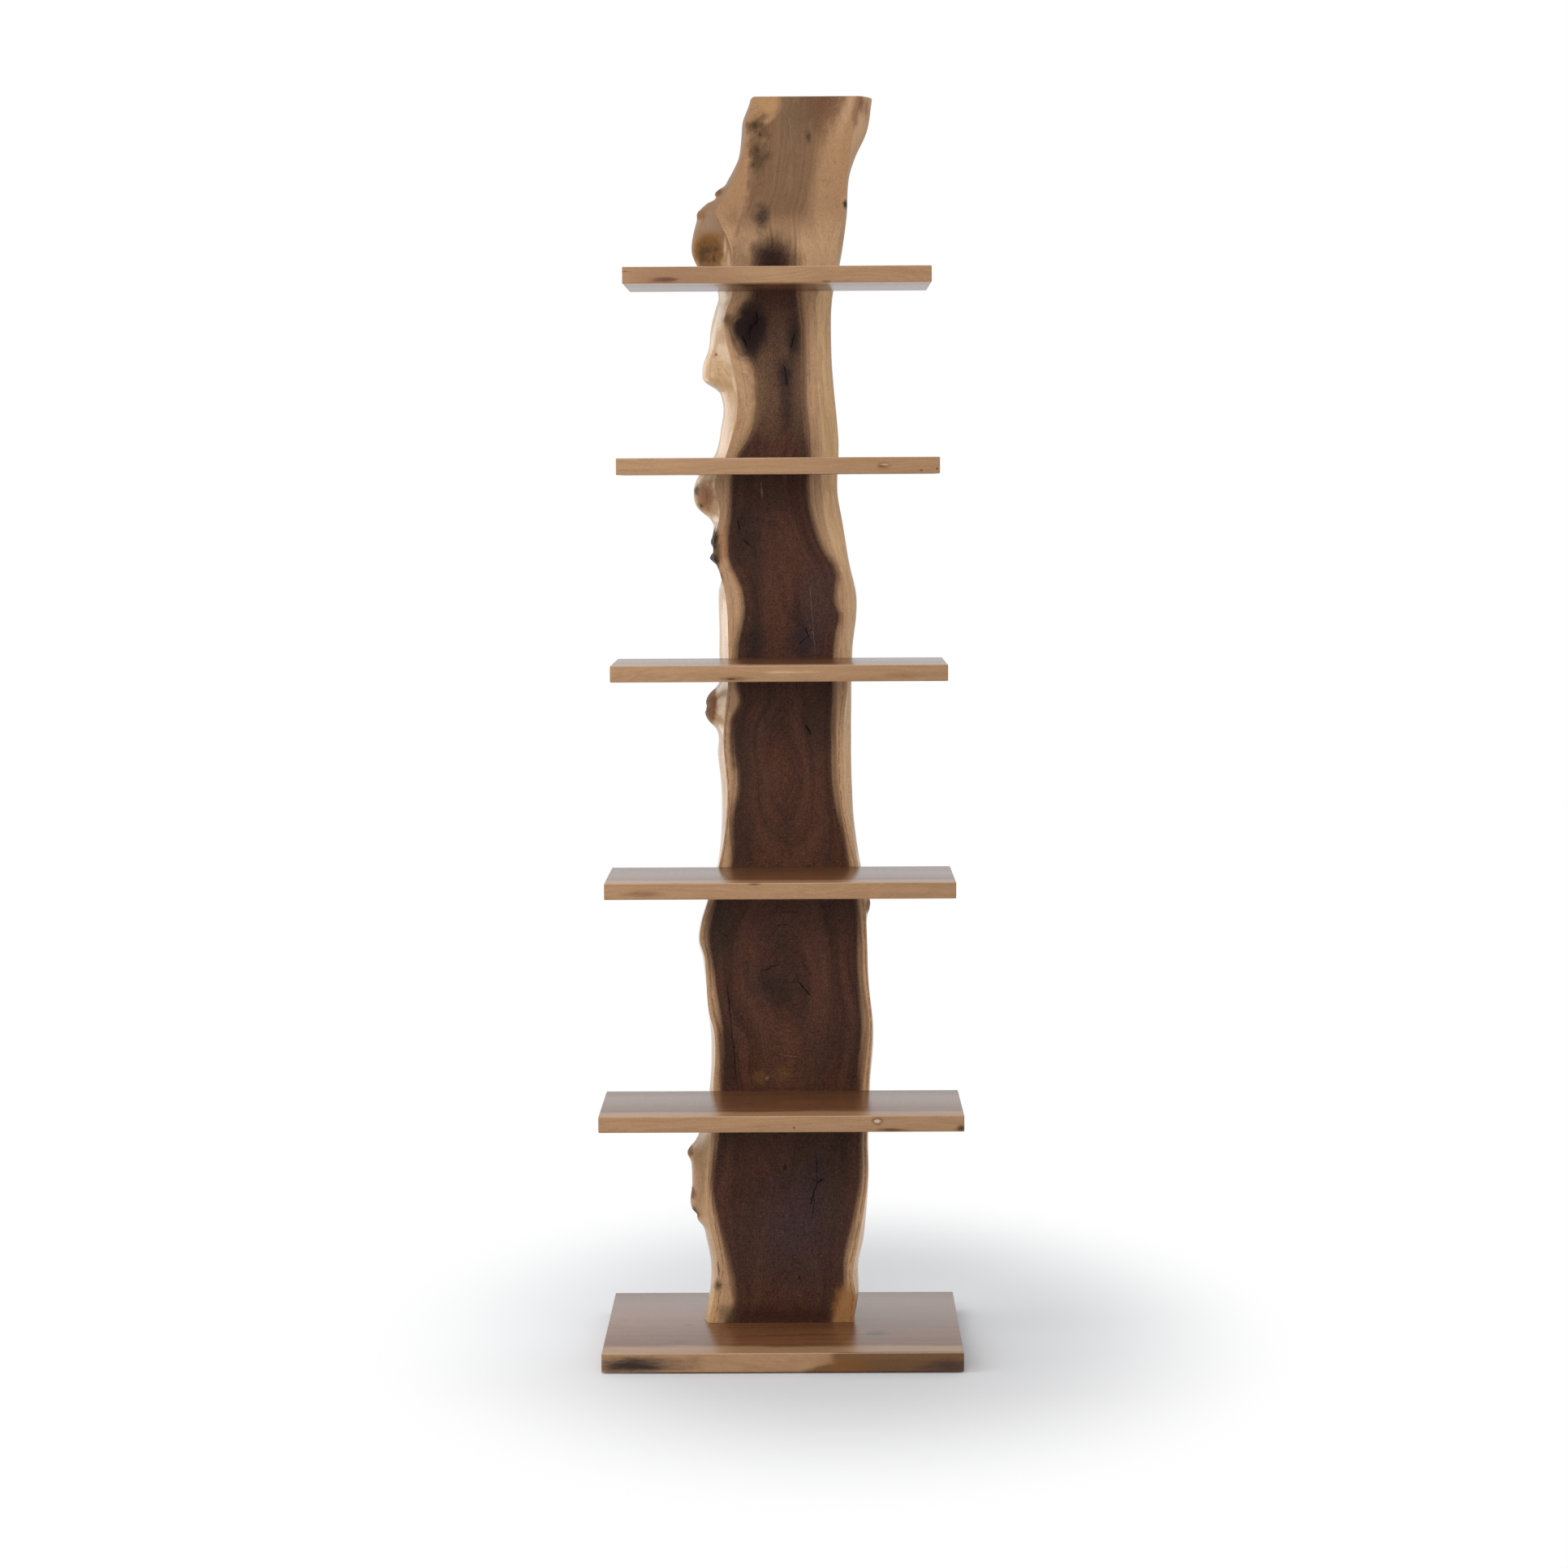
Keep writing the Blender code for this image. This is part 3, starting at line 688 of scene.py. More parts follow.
# %% Drilling the slab
def cut_with(thing, drills):
    """Cut the drills of some bmeshes out of an object and keep the result as its mesh."""
    cutters = [object_from(bm, "drills") for bm in drills]
    for cutter in cutters:
        modifier = thing.modifiers.new("holes", "BOOLEAN")
        modifier.operation = "DIFFERENCE"
        modifier.solver = "EXACT"
        modifier.object = cutter
    bpy.context.view_layer.update()
    shaped = bpy.data.meshes.new_from_object(thing.evaluated_get(bpy.context.evaluated_depsgraph_get()))
    thing.modifiers.clear()
    thing.data = shaped
    for cutter in cutters:
        bpy.data.objects.remove(cutter, do_unlink=True)


cut_with(slab, [bores, recesses])
print("the drilled slab has", len(slab.data.vertices), "points")

# %% [markdown]
# ## What the slab's points know
# The figure of the wood follows the log, not the saw. Noise that is only stretched upwards
# would run straight past every bend and knot. So each point of the mesh carries a few values
# that the material reads: how far it lies inside the dark heartwood, how far it is from the
# middle of the log, whether it is on the skin of the tree, and how rough it is there. The
# rings bend round the knots, as water round a stone.

# %% Lines inside the wood
RING_PULLS = (
    # x, height, half width, half height, how strongly the rings are pulled
    (-56, 1725, 50, 90, 0.75), (15, 1665, 22, 75, 0.35), (-62, 1350, 35, 70, 0.35),
    (-40, 1190, 40, 60, 0.3), (45, 1195, 30, 50, 0.4), (50, 1030, 30, 50, 0.4),
    (0, 600, 60, 90, 0.55), (-36, 2064, 24, 40, 0.35), (-32, 2010, 22, 40, 0.25),
    (-25, 1912, 24, 40, 0.35), (54, 2048, 14, 40, 0.45), (-113, 66, 12, 30, 0.5),
)
SPECK_LEFT = ((0, 10), (720, 6), (800, 4), (1080, 4), (1300, 12), (1900, 14))
SPECK_RIGHT = ((0, 6), (720, 4), (850, 6), (1000, 7), (1150, 7), (1300, 9), (1500, 12), (1850, 14))
CROWN_LEFT = (
    (1870, -75), (1950, -52), (2020, -46), (2050, -42), (2065, -28), (2078, -10), (2095, 2),
    (2117, 4),
)
CROWN_RIGHT = ((1870, 60), (1950, 66), (2000, 74), (2050, 82), (2117, 100))
PITH_BEHIND_FACE = (
    (0, 50), (350, 70), (620, 30), (800, 60), (950, 16), (1100, 45), (1300, 30), (1500, 50),
    (1620, 20), (1850, 50), (2117, 60),
)
SAP_RINGS = 0.030
HEART_RINGS = 0.200


def soft_step(value, start, end):
    """Fade softly from 0 at start to 1 at end."""
    t = np.clip((value - start) / (end - start), 0, 1)
    return t * t * (3 - 2 * t)


def ring_place(x, height, left, right, heart_left, heart_right):
    """Return how far across the rings a place is, with the rings bent round the knots."""
    width = right - left
    heart_left = np.clip(heart_left, left + 0.05 * width, left + 0.35 * width)
    heart_right = np.clip(heart_right, right - 0.35 * width, right - 0.05 * width)
    share_left = (x - left) / (heart_left - left)
    share_middle = (x - heart_left) / (heart_right - heart_left)
    share_right = (x - heart_right) / (right - heart_right)
    across = np.where(x < heart_left, (share_left - 1) * SAP_RINGS - HEART_RINGS / 2,
                      np.where(x > heart_right, share_right * SAP_RINGS + HEART_RINGS / 2,
                               (share_middle - 0.5) * HEART_RINGS))
    for row in RING_PULLS:
        knot_x, knot_height, half_width, half_height, pull = in_metres(row, 4)
        distance = ((x - knot_x) / half_width) ** 2 + ((height - knot_height) / half_height) ** 2
        across -= (x - knot_x) * pull * np.exp(-1.5 * distance)
    return across


print("knots that bend the rings:", len(RING_PULLS))


# %% Reading and writing points
def points_of(mesh):
    """Return the places of a mesh's points as an array."""
    flat = np.zeros(len(mesh.vertices) * 3, dtype=np.float32)
    mesh.vertices.foreach_get("co", flat)
    return flat.reshape(-1, 3).astype(float)


def keep_on_points(mesh, fields):
    """Write numbers or vectors onto the points of a mesh."""
    for name, values in fields.items():
        values = np.asarray(values, dtype=np.float32)
        kind, slot = ("FLOAT", "value") if values.ndim == 1 else ("FLOAT_VECTOR", "vector")
        mesh.attributes.new(name, kind, "POINT").data.foreach_set(slot, values.ravel())


points = points_of(slab.data)
print("the slab's points reach from", points.min(axis=0).round(3), "to", points.max(axis=0).round(3))

# %% Values on the points
HEART_FOLLOWS = 0.7
HEART_TIP = 1.850
HEART_TIP_X = -0.006
HEART_TIP_HALF_WIDTH = 0.010
HEART_TIP_ROUNDING = 0.012
SIDE_MARGIN = 0.003
ARRIS_MARGIN = 0.0003
PITH_LEAN = 0.8
FULL_LIFT = 0.020
FULL_HOLLOW = 0.010
SMOOTH_ANGLE = math.radians(38)


def slab_fields(points):
    """Return the values that each point of the slab carries."""
    x, y, z = points.T
    height = z - BASE_TOP
    depth = share_of_depth(y)
    swing = edge_reach(depth)
    face_left = read_line(FACE_LEFT, height)
    face_right = read_line(FACE_RIGHT, height)
    left = face_left + (read_line(OUTER_LEFT, height) - face_left) * swing
    right = face_right + (read_line(OUTER_RIGHT, height) - face_right) * swing

    follow = HEART_FOLLOWS * (1 - soft_step(height, 1.76, HEART_TIP))
    heart_left = read_line(HEART_LEFT, height) + follow * (left - face_left)
    heart_right = read_line(HEART_RIGHT, height) + follow * (right - face_right)
    inside = np.minimum(x - heart_left, heart_right - x)
    beside_tip = np.maximum(np.abs(x - HEART_TIP_X) - HEART_TIP_HALF_WIDTH, 0)
    over_tip = np.hypot(np.maximum(height - HEART_TIP, 0), beside_tip)
    rounded = np.minimum(inside, HEART_TIP_ROUNDING - over_tip)
    inside = np.where(height > HEART_TIP, rounded, inside)
    softness = 0.005 + 0.006 * soft_step(height, 1.46, 1.56) + 0.009 * soft_step(height, 1.80, 1.87)
    across = ring_place(x, height, left, right, heart_left, heart_right)
    pith = read_line(PITH_BEHIND_FACE, height) - (y - SLAB_FACE_Y) * PITH_LEAN

    on_side = np.minimum(x - left, right - x) < SIDE_MARGIN
    beyond = (x < face_left - ARRIS_MARGIN) | (x > face_right + ARRIS_MARGIN)
    live = (on_side | beyond) & (depth > 0.003) & (depth < 0.997)
    lift, hollow, rough = burl_masks(x, height)

    speck = np.minimum(x - left - read_line(SPECK_LEFT, height),
                       right - x - read_line(SPECK_RIGHT, height))
    crown_left = x - read_line(CROWN_LEFT, height)
    crown_right = read_line(CROWN_RIGHT, height) - x
    crown = np.minimum(soft_step(crown_left, -0.004, 0.006), soft_step(crown_right, -0.022, 0.022))
    return {
        "heart": np.clip(inside / softness, -8, 30),
        "rings": np.hypot(across, pith),
        "live": live.astype(float),
        "burl": np.where(live, np.maximum(rough, lift / FULL_LIFT), 0.0),
        "hollow": np.where(live, hollow / FULL_HOLLOW, 0.0),
        "speck": np.where(height > 1.80, crown_left, speck),
        "crown": crown * soft_step(height, 1.86, 1.93),
    }


fields = slab_fields(points)
keep_on_points(slab.data, fields)
slab.data.shade_smooth()
slab.data.set_sharp_from_angle(angle=SMOOTH_ANGLE)
print("points on the skin of the tree:", int(fields["live"].sum()))

# %% [markdown]
# ## Walnut figure
# Under the lacquer, walnut shows four things at four scales: broad bands of colour, fine
# lines, short dark pores, and a mottle. All are noise, stretched along the grain. The group
# asks for a place across, through and along the grain, so that the slab, whose grain runs
# up, and the boards, whose grain runs sideways, can share it.

# %% Node group: walnut figure
BAND_SCALES = (75, 30, 1.9)  # across, through and along the grain
LINE_SCALES = (520, 120, 8)
PORE_SCALES = (1500, 900, 75)
MOTTLE_SCALES = (620, 620, 330)


def joined(x, y=0.0, z=0.0):
    """Make a vector of three numbers."""
    return add("ShaderNodeCombineXYZ", {0: x, 1: y, 2: z})


def speckle(vector, scale, detail=2.0, roughness=0.5, distortion=0.0):
    """Return noise, a value round 0.5. The scale is a number, or one number for each direction."""
    if isinstance(scale, tuple):
        vector = on_vectors("MULTIPLY", vector, scale)
        scale = 1.0
    inputs = {"Vector": vector, "Scale": scale, "Detail": detail, "Roughness": roughness,
              "Distortion": distortion}
    return add("ShaderNodeTexNoise", inputs)


def new_group(name, inputs, outputs):
    """Start a node group. Its inputs are given with the values they start from."""
    group = start_net(bpy.data.node_groups.new(name, "ShaderNodeTree"))
    for label, value in inputs.items():
        kind = "NodeSocketVector" if isinstance(value, tuple) else "NodeSocketFloat"
        socket = group.interface.new_socket(name=label, in_out="INPUT", socket_type=kind)
        socket.default_value = value
    for label in outputs:
        group.interface.new_socket(name=label, in_out="OUTPUT", socket_type="NodeSocketFloat")
    given = group.nodes.new("NodeGroupInput").outputs
    return group, [Value(given[label]) for label in inputs], group.nodes.new("NodeGroupOutput").inputs


def place_group(group, **inputs):
    """Put a node group in a net and return its output, or all of them where it has several."""
    made = net.nodes.new("ShaderNodeGroup")
    made.node_tree = group
    fill(made.inputs, inputs)
    outputs = [Value(socket) for socket in made.outputs]
    return outputs if len(outputs) > 1 else outputs[0]


figure_group, (across, through, along), result = new_group(
    "walnut_figure", {"Across": 0.0, "Through": 0.0, "Along": 0.0}, ("Bands", "Lines", "Pores", "Mottle"))
grain = joined(across, through, along)
fill(result, {
    "Bands": speckle(grain, BAND_SCALES, 3.0, 0.55, 0.3),
    "Lines": speckle(grain, LINE_SCALES, 3.0, 0.6, 0.2),
    "Pores": fade(speckle(grain, PORE_SCALES, 1.0, 0.5), 0.60, 0.72),
    "Mottle": speckle(grain, MOTTLE_SCALES, 3.0, 0.65),
})
print("the figure has", len(result) - 1, "outputs")

# %% [markdown]
# Marks are laid over the figure. A patch is an oval with a ragged, soft rim, for the stains
# and knots of the boards. A crack is drawn where the distance aside from its line is less
# than its width, with a wave that keeps it from looking ruled. Between the bark and the
# heart runs a dotted dark line, a row of tiny insect or mineral specks: its group draws
# dashes near a distance of zero.

# %% Node groups: patch, crack and speck line
patch_group, (place, centre, reach, softness, ragged), result = new_group(
    "patch", {"Place": (0, 0, 0), "Centre": (0, 0, 0), "Reach": (1, 1, 1), "Softness": 0.5, "Ragged": 0.3},
    ("Mask",))
radius = length(on_vectors("DIVIDE", on_vectors("SUBTRACT", place, centre), reach))
rim = speckle(place, (22, 110, 110), 3.0, 0.6) - 0.5
radius = rim * (ragged * 4.0) + radius
fill(result, {"Mask": fade(radius, 1.0 - softness, softness * 0.6 + 1.0, 1.0, 0.0)})

crack_group, (place, aside, width), result = new_group(
    "crack", {"Place": (0, 0, 0), "Aside": 1.0, "Width": 0.0}, ("Mask",))
wave = speckle(place, 170, 3.0, 0.6) - 0.5
gap = calc("ABSOLUTE", wave * 0.006 + aside) / calc("MAXIMUM", width, 0.00001)
fill(result, {"Mask": fade(gap, 0.30, 0.75, 1.0, 0.0)})

speck_group, (distance, along, spread_out), result = new_group(
    "speck_line", {"Distance": 1.0, "Along": 0.0, "Spread": 0.0015}, ("Mask",))
wander = (speckle(joined(along * 40.0, 7.0), 1.0, 3.0) - 0.5) * 0.005
near = fade(calc("ABSOLUTE", distance - wander) / spread_out, 0.2, 1.0, 1.0, 0.0)
dashes = fade(speckle(joined(along * 48.0), 1.0, 2.0, 0.6), 0.40, 0.50)
dots = speckle(joined(along * 420.0, distance * 420.0), 1.0, 2.0, 0.6)
fill(result, {"Mask": near * (dashes * fade(dots, 0.40, 0.56, 0.35, 1.0))})
print("node groups:", [group.name for group in bpy.data.node_groups])

# %% [markdown]
# ## The slab's finish
# The colours go on from the widest to the smallest: sapwood everywhere, heartwood inside its
# lines, the pale crown at the top, the skin of the tree on the live edges, then stains,
# knots, cracks, specks and pores. A clear satin lacquer lies over all of it. Colours are
# written as a paint program shows them, from 0 to 255.

# %% Colours of the slab
SAP_LIGHT = (199, 159, 121)
SAP_DARK = (183, 144, 107)
SAP_SHADE = (140, 106, 76)
HALO_OLIVE = (116, 82, 54)
HEART_DARK = (68, 42, 31)
HEART_MIDDLE = (89, 56, 42)
HEART_RED = (102, 60, 44)
HEART_GREY = (63, 45, 36)
HEART_PURPLE = (80, 56, 50)
CROWN_GREY = (130, 100, 73)
CROWN_BROWN = (118, 86, 60)
CROWN_TAN = (160, 121, 85)
# The right entries are painted paler, as painted light, and the left top darker, as painted shade against
# the left lamp.
SKIN_LIGHTS_WITH_PAINTED_LIGHT = ((196, 160, 118), (238, 196, 148))  # on the left and on the right
SKIN_DARKS_WITH_PAINTED_LIGHT = ((176, 141, 101), (216, 172, 124))
SKIN_TOPS_WITH_PAINTED_SHADE_AND_LIGHT = ((124, 90, 58), (206, 164, 126))
SKIN_SHADE = (150, 110, 72)
BURL_BROWN = (130, 84, 44)
BURL_AMBER = (104, 70, 36)
BURL_DARK = (66, 50, 34)
KNOT_BROWN = (90, 62, 40)
KNOT_HEART = (32, 22, 16)
NEARLY_BLACK = (22, 16, 15)
SCRATCH_GREY = (150, 122, 106)
SPECK_BROWN = (108, 66, 46)
PORE_BROWN = (36, 22, 16)
BLACK = (0, 0, 0)
print("the heart goes from", HEART_GREY, "to", HEART_RED)

# %% Stains of the slab, with two painted highlights among them, from the top down
SLAB_STAINS_AND_PAINTED_HIGHLIGHTS = (
    # x, height, half width, half height, softness, ragged, colour, strength
    (80, 2116, 40, 60, 0.6, 0.3, (106, 72, 50), 0.85),
    (78, 2062, 10, 30, 0.9, 0.3, (124, 86, 60), 0.6),
    (34, 2080, 30, 40, 0.9, 0.3, (100, 76, 56), 0.55),
    (126, 2104, 8, 18, 0.8, 0.3, (190, 152, 118), 0.8),
    (116, 2084, 8, 18, 0.8, 0.3, (190, 152, 118), 0.8),
    (106, 2062, 8, 20, 0.8, 0.3, (182, 144, 108), 0.7),
    (142, 2108, 7.5, 22, 0.8, 0.3, (130, 90, 64), 0.95),
    (133, 2084, 6.5, 22, 0.8, 0.3, (136, 96, 70), 0.85),
    (153, 2098, 4, 22, 0.8, 0.3, (136, 96, 70), 0.7),
    (-14, 2102, 18, 14, 0.8, 0.2, (178, 136, 88), 0.8),
    (-34, 2064, 19, 22, 0.8, 0.8, (96, 70, 42), 1.0),
    (-32, 2018, 17, 26, 0.9, 0.9, (88, 64, 40), 1.0),
    (-44, 2030, 4, 20, 0.9, 0.6, (104, 76, 52), 0.6),
    (-48, 1975, 3, 22, 0.9, 0.8, (112, 82, 56), 0.6),
    (-28, 1914, 15, 21, 0.8, 0.4, (64, 48, 38), 1.0),
    (8, 1892, 14, 6, 0.8, 0.3, (158, 124, 88), 0.6),
    (-75, 1912, 12, 18, 0.9, 0.5, (140, 104, 74), 0.6),
    (-119, 1848, 26, 30, 0.9, 1.2, (124, 82, 38), 0.9),
    (-121, 1856, 16, 10, 0.9, 1.2, (56, 42, 28), 0.8),
    (-110, 1846, 3.5, 7, 0.8, 0.6, (40, 30, 22), 0.8),
    (-132, 1842, 4, 10, 0.9, 0.8, (64, 46, 28), 0.7),
    (-34, 1856, 18, 24, 1.0, 0.4, (84, 60, 44), 0.55),
    # The next two pale streaks are a painted highlight along the arris beside the big burl.
    (-90, 1862, 3, 16, 0.8, 0.2, (214, 178, 150), 0.6),
    (-84, 1842, 3, 14, 0.8, 0.2, (214, 178, 150), 0.6),
    (-100, 1957, 5, 6, 0.8, 0.3, (104, 72, 52), 0.75),
    (-102, 1942, 4, 8, 0.8, 0.3, (150, 102, 76), 0.6),
    (115, 1936, 6, 12, 0.8, 0.2, (198, 160, 122), 0.7),
    (-66, 1850, 14, 34, 0.9, 0.3, (134, 106, 74), 0.7),
    (-12, 1846, 30, 36, 1.0, 0.3, (42, 25, 18), 0.85),
    (2, 1665, 44, 80, 0.9, 0.3, (112, 82, 60), 0.72),
    (-16, 1605, 24, 66, 0.9, 0.3, (116, 86, 62), 0.65),
    (34, 1600, 13, 80, 0.9, 0.3, (104, 78, 58), 0.65),
    (-46, 1722, 32, 50, 0.45, 0.22, (46, 30, 28), 0.97),
    (-46, 1720, 16, 26, 0.9, 0.4, (34, 22, 21), 0.75),
    (-86, 1738, 10, 12, 0.9, 0.3, (96, 68, 42), 0.8),
    (-4, 1700, 12, 70, 1.0, 0.3, (92, 62, 46), 0.7),
    (-20, 1620, 12, 60, 1.0, 0.3, (98, 68, 52), 0.6),
    (26, 1706, 13, 34, 0.9, 0.4, (40, 31, 29), 0.85),
    (12, 1644, 15, 34, 0.9, 0.4, (40, 31, 32), 0.88),
    (12, 1590, 12, 40, 0.9, 0.4, (48, 37, 34), 0.6),
    (-128, 1436, 17, 28, 0.7, 0.5, (152, 102, 68), 0.75),
    (-143, 1446, 4, 12, 0.8, 0.8, (46, 30, 22), 0.85),
    (-124, 1438, 2, 10, 0.8, 0.6, (116, 60, 38), 0.6),
    (-133, 1420, 3, 3, 0.8, 0.6, (52, 30, 22), 0.85),
    (-136, 1424, 10, 4, 0.9, 0.9, (110, 74, 50), 0.5),
    (-58, 1362, 30, 50, 0.9, 0.45, (54, 40, 33), 0.8),
    (-123, 1074, 13, 34, 0.5, 0.6, (116, 66, 22), 1.0),
    (-131, 1072, 4, 28, 0.8, 1.0, (60, 42, 32), 0.8),
    (-28, 1622, 11, 60, 0.9, 0.3, (116, 88, 58), 0.65),
    (-148, 250, 16, 100, 0.8, 0.4, (146, 104, 72), 0.7),
    (-162, 298, 4, 6, 0.8, 0.9, (66, 44, 32), 0.8),
    (-158, 225, 3, 14, 0.8, 0.9, (70, 48, 34), 0.75),
    (-153, 190, 4, 12, 0.8, 0.9, (64, 44, 32), 0.8),
    (-97, 1357, 8, 36, 0.8, 0.3, (164, 108, 70), 0.6),
    (-114, 1364, 9, 17, 0.6, 0.6, (10, 6, 4), 1.0),
    (-114, 1330, 10, 14, 0.6, 0.6, (10, 6, 4), 1.0),
    (-107, 1346, 7, 30, 0.6, 0.4, (72, 54, 38), 0.75),
    (-100, 1296, 3, 12, 0.7, 0.3, (96, 64, 44), 0.7),
    (-40, 1290, 14, 130, 1.0, 0.3, (50, 37, 32), 0.6),
    (-45, 1185, 28, 40, 0.9, 0.45, (46, 36, 33), 0.75),
    (0, 1310, 34, 150, 1.0, 0.25, HEART_RED, 0.3),
    (46, 1195, 30, 40, 0.9, 0.45, (44, 34, 42), 0.88),
    (66, 1255, 36, 70, 0.9, 0.35, HEART_PURPLE, 0.7),
    (0, 1440, 50, 40, 1.0, 0.35, (66, 42, 32), 0.5),
    (30, 1240, 12, 30, 0.9, 0.35, (50, 36, 33), 0.5),
    (-66, 1010, 22, 60, 1.0, 0.4, HEART_GREY, 0.7),
    (60, 1040, 24, 60, 1.0, 0.4, HEART_GREY, 0.65),
    (-66, 850, 22, 50, 1.0, 0.4, HEART_GREY, 0.6),
    (10, 860, 28, 30, 1.0, 0.4, HEART_GREY, 0.45),
    (-4, 960, 30, 50, 1.0, 0.3, HEART_RED, 0.45),
    (-108, 680, 24, 60, 1.0, 0.3, (58, 48, 38), 0.6),
    (-4, 590, 52, 40, 1.0, 0.5, (50, 38, 33), 0.75),
    (-45, 650, 30, 30, 1.0, 0.4, HEART_RED, 0.25),
    (60, 640, 24, 60, 1.0, 0.4, HEART_RED, 0.2),
    (14, 500, 14, 50, 1.0, 0.3, HEART_RED, 0.25),
    (-40, 430, 13, 13, 0.9, 0.5, (112, 76, 38), 0.6),
    (2, 437, 16, 14, 0.9, 0.5, (106, 72, 38), 0.55),
    (-95, 450, 16, 120, 1.0, 0.3, (52, 35, 33), 0.45),
    (-50, 300, 40, 60, 1.0, 0.3, HEART_RED, 0.35),
    (70, 240, 50, 110, 1.0, 0.3, (72, 54, 40), 0.55),
    (-60, 140, 36, 80, 1.0, 0.3, (70, 52, 42), 0.5),
    (30, 170, 70, 100, 1.0, 0.3, (66, 51, 53), 0.7),
    (62, 260, 24, 30, 1.0, 0.3, (58, 44, 46), 0.5),
    (0, 12, 110, 20, 1.0, 0.2, (54, 27, 20), 0.75),
    (110, 20, 25, 48, 0.4, 0.15, (158, 108, 58), 0.85),
    (-100, 16, 16, 18, 0.9, 0.3, (104, 82, 54), 0.7),
    (-124, 24, 10, 36, 0.5, 0.2, (206, 164, 112), 0.85),
)
print("stains:", len(SLAB_STAINS_AND_PAINTED_HIGHLIGHTS))

# %% Small knots and cracks of the slab, from the top down
SLAB_KNOTS = (
    # x, height, half width, half height, how dark its heart is
    (-38, 2068, 6, 7.5, 0.5), (-29, 2052, 3.2, 3.4, 0.65), (-34, 2026, 4.5, 6, 0.45),
    (53.5, 2048, 4, 11, 0.5), (-42, 2002, 4.5, 4.5, 0.5), (115.5, 1934, 4, 6, 1.0),
    (4, 273, 5, 8, 0.8), (28, 80, 4, 5, 0.9), (62, 50, 3, 7, 0.7), (-113, 66, 6, 8, 0.6),
    (-26, 430, 4, 4, -0.5),
)
SLAB_CRACKS = (
    # first x, first height, second x, second height, width, how light it is
    (20, 2085, 25, 2020, 2.4, 0.75), (-37, 1754, -36, 1730, 3.4, 0.0),
    (-34, 1740, -52, 1716, 3.8, 0.0), (-62, 1713, -53, 1691, 3.2, 0.0),
    (-48, 1728, -48, 1706, 2.8, 0.0), (28, 1716, 22, 1690, 2.2, 0.0),
    (9, 1662, 13, 1646, 2.4, 0.0), (12, 1648, 15, 1624, 2.2, 0.0), (-31, 1462, -29, 1434, 2, 1.0),
    (-71, 1398, -67, 1378, 2.4, 0.0), (-64, 1364, -50, 1352, 2.2, 0.0),
    (42, 1214, 51, 1194, 2.6, 0.0), (48, 1196, 33, 1183, 2, 0.0), (52, 1290, 60, 1170, 1, 0.9),
    (43, 1045, 53, 1025, 3.6, 0.0), (-36, 616, -8, 627, 2, 0.0), (26, 602, 50, 572, 2, 0.0),
    (30, 642, 54, 606, 1.4, 0.1), (-30, 668, 4, 702, 1.4, 0.1), (-95, 596, -87, 520, 1.7, 0.0),
    (-88, 526, -78, 420, 1.7, 0.0), (-10, 471, 30, 466, 1.2, 0.6), (71, 251.5, 60, 248, 2.4, 0.0),
    (58, 300, 60, 246, 1.2, 0.0), (61, 250, 55, 231, 2, 0.0), (56, 222, 51, 180, 1.2, 0.0),
    (56, 236, 47, 203, 2.2, 0.0), (-114, 110, -111, 84, 2.6, 0.3),
)
print("knots and cracks:", len(SLAB_KNOTS), len(SLAB_CRACKS))

# %% [markdown]
# A node for each of these marks would make the net huge. They are worked out on the points
# instead, and the shader only roughens their rims. A stain is kept as a colour and a cover,
# a knot as the place inside its oval, and a crack as the distance from its line.

# %% Stains on the points
FRONT_PART = 0.6
BACK_FADING = 0.55
RIM_NOISE_SCALE = 75


def stain_points(points, stains, ragged):
    """Lay stains, and the painted highlights among them, over one another on the points, and return their
    colour and their cover.
    """
    x, _, z = points.T
    colour = np.zeros((len(x), 3))
    cover = np.zeros(len(x))
    for row in stains:
        stain_x, height, half_width, half_height, softness, wear, stain, strength = in_metres(row, 4)
        radius = np.hypot((x - stain_x) / half_width, (z - BASE_TOP - height) / half_height)
        radius += ragged * wear
        share = strength * (1 - soft_step(radius, 1 - softness, 1 + 0.6 * softness))
        colour = colour * (1 - share[:, None]) + np.array(linear(*stain)[:3]) * share[:, None]
        cover = cover * (1 - share) + share
    return colour, cover


on_front = points[:, 1] < SLAB_FACE_Y + FRONT_PART * SLAB_THICKNESS
through = 1 - BACK_FADING * soft_step(share_of_depth(points[:, 1]), 0.30, 0.85)
ragged = np.array([noise.fractal(Vector(p) * RIM_NOISE_SCALE, 1.0, 2.0, 3) for p in points])
stain, cover = stain_points(points, SLAB_STAINS_AND_PAINTED_HIGHLIGHTS, ragged)
marks = {"stain": stain * through[:, None], "cover": cover * through}
print("points under a stain:", int((cover > 0.1).sum()))


# %% Knots on the points
def knot_points(points, knots):
    """Return for each point its place in the nearest knot's oval, and how dark that knot is."""
    x, _, z = points.T
    nearest = np.full(len(x), 1e9)
    inside = np.zeros((len(x), 3))
    for row in knots:
        knot_x, height, half_width, half_height, dark = in_metres(row, 4)
        across = (x - knot_x) / half_width
        along = (z - BASE_TOP - height) / half_height
        radius = np.hypot(across, along)
        near = radius < nearest
        nearest[near] = radius[near]
        weight = dark * (1 - soft_step(radius, 1.2, 1.8))
        inside[near] = np.stack((across, along, weight), axis=1)[near]
    return inside


marks["knot"] = knot_points(points, SLAB_KNOTS) * on_front[:, None]
print("points near a knot:", int((marks["knot"][:, 2] != 0).sum()))


